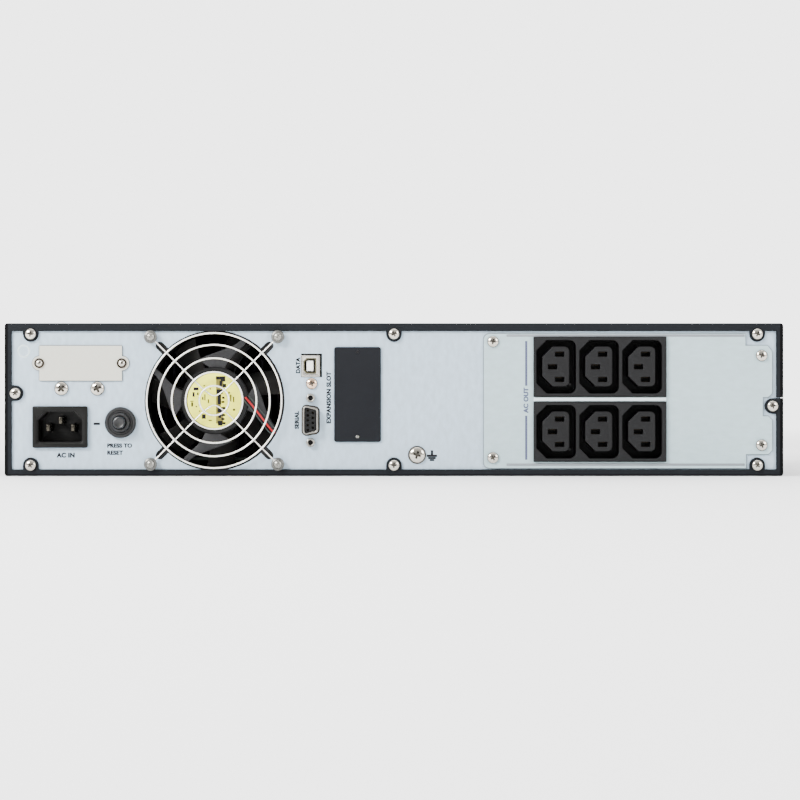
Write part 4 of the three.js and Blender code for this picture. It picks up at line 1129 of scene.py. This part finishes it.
def make_buttons():
    stem, cap, flange = 2, 5.4, 6.9
    for i in (1, 2, 3):
        node = f"push_button_{i}"
        low, high, centre = span(node)
        x, z, tip, collar = centre.x, centre.z, low.y, high.y - 6.9
        button = turned(x, z, [
            (0, tip + 0.3), (3.4, tip + 0.22), (4.4, tip), (5.0, tip + 0.15), (cap, tip + 0.7),
            (cap, collar), (flange, collar), (flange, collar + 0.8), (stem, collar + 0.8),
            (stem, high.y), (0, high.y)])
        signs = {1: [[rectangle(x, z + 1.3, 0.7, 2.2)], [circle(x, z, 2.2), circle(x, z, 1.7)]],
                 2: [[rectangle(x - 1, z, 0.7, 3)], [rectangle(x + 1, z, 0.7, 3)]],
                 3: [[outline([(x - 1.6, z + 1), (x + 1.6, z + 1), (x, z - 1.6)])]]}[i]
        parts = [button] + [(plate(loops, tip + 0.1, tip + 0.4), 1) for loops in signs]
        refined(node, parts, ["button_plastic", "white_plastic"], node)


# ---- Camera, light and floor ----

BACKDROP = 3.8    # the strength of white that the camera sees behind the object


def make_camera():
    lens, sensor, view_width, view_x, view_z = 120.0, 36.0, 450.4, -3.4, 42.8
    camera = new_object("camera", bpy.data.cameras.new("camera"))
    camera.data.lens = lens
    camera.data.sensor_width = sensor
    camera.location = Vector((view_x, PANEL_FACE + lens / sensor * view_width, view_z)) * MM
    camera.rotation_euler = (math.pi / 2, 0, math.pi)
    bpy.context.scene.camera = camera


def area_light(name, place, target, size, power):
    """A rectangular light at a place, facing a target, all in metres."""
    light = bpy.data.lights.new(name, "AREA")
    light.shape = "RECTANGLE"
    light.size, light.size_y = size
    light.energy = power
    holder = new_object(name, light)
    holder.location = place
    holder.rotation_euler = (Vector(target) - Vector(place)).to_track_quat("-Z", "Y").to_euler()


def fade_to_backdrop(material):
    """Lets the far floor turn into the backdrop, so that no horizon shows."""
    tree = material.node_tree
    fade_start, fade_end = 0.5, 2.6
    place = output(tree, "NewGeometry", "Position")
    reach = output(tree, "VectorMath", "Value", {0: place}, operation="LENGTH")
    level = output(tree, "MapRange", "Result", {
        "Value": reach, "From Min": fade_start, "From Max": fade_end}, interpolation_type="SMOOTHSTEP")
    amount = maths(tree, "MULTIPLY", level, output(tree, "LightPath", "Is Camera Ray"))
    floor = tree.nodes["Principled BSDF"].outputs["BSDF"]
    glow = output(tree, "Emission", "Emission", {"Strength": BACKDROP})
    mix = output(tree, "MixShader", "Shader", {"Fac": amount, 1: floor, 2: glow})
    tree.links.new(mix, tree.nodes["Material Output"].inputs["Surface"])
    return material


def make_world():
    """White light that is stronger from the front than from the rear, with an even backdrop."""
    world = bpy.data.worlds.new("studio")
    bpy.context.scene.world = world
    world.use_nodes = True
    tree = world.node_tree
    from_front, from_rear = 3.6, 0.44
    direction = output(tree, "TexCoord", "Generated")
    toward_rear = output(tree, "SeparateXYZ", "Y", {"Vector": direction})
    level = output(tree, "MapRange", "Result", {
        "Value": toward_rear, "From Min": -1.0, "From Max": 1.0, "To Min": from_front, "To Max": from_rear})
    seen = output(tree, "LightPath", "Is Camera Ray")
    strength = output(tree, "Mix", "Result", {"Factor": seen, "A": level, "B": BACKDROP})
    background = tree.nodes["Background"].inputs
    background["Color"].default_value = (1, 1, 1, 1)
    tree.links.new(strength, background["Strength"])


def make_studio():
    area_light("rear_key", (1.1, 1.4, 0.9), (0, 0.2, 0.04), (0.8, 0.5), 60)
    area_light("rear_fill", (-1.3, 1.4, 0.7), (0, 0.2, 0.04), (0.7, 0.7), 18)
    area_light("front_key", (0.8, -1.7, 1.1), (0, -0.2, 0.04), (1.2, 0.8), 25)
    area_light("top", (0, 0, 1.8), (0, 0, 0), (1.5, 1.5), 15)
    half, pale = 8.0, 245.814
    floor = bpy.data.meshes.new("floor")
    floor.from_pydata([(-half, -half, 0), (half, -half, 0), (half, half, 0), (-half, half, 0)], [],
                      [(0, 1, 2, 3)])
    floor.materials.append(fade_to_backdrop(surface("pale_floor", (pale, pale, pale), 0.7, 0.01, 30, 0)))
    new_object("floor", floor)


make_camera()
make_world()
make_studio()
make_paints()
make_plastics()
make_metals()
finish_nodes()
make_screw_groups()
make_single_screws()
make_fan_fasteners()
make_fan_frame()
make_fan_label()
make_fan_rotor()
make_fan_guard()
make_fan_leads()
make_inlet()
make_outlets()
make_breaker()
make_usb()
make_serial()
make_printing()
make_pressed_mark()
make_shadow_lines()
make_plate_trim()
make_batteries()
make_air_filter()
make_display()
make_lamps_and_trims()
make_buttons()
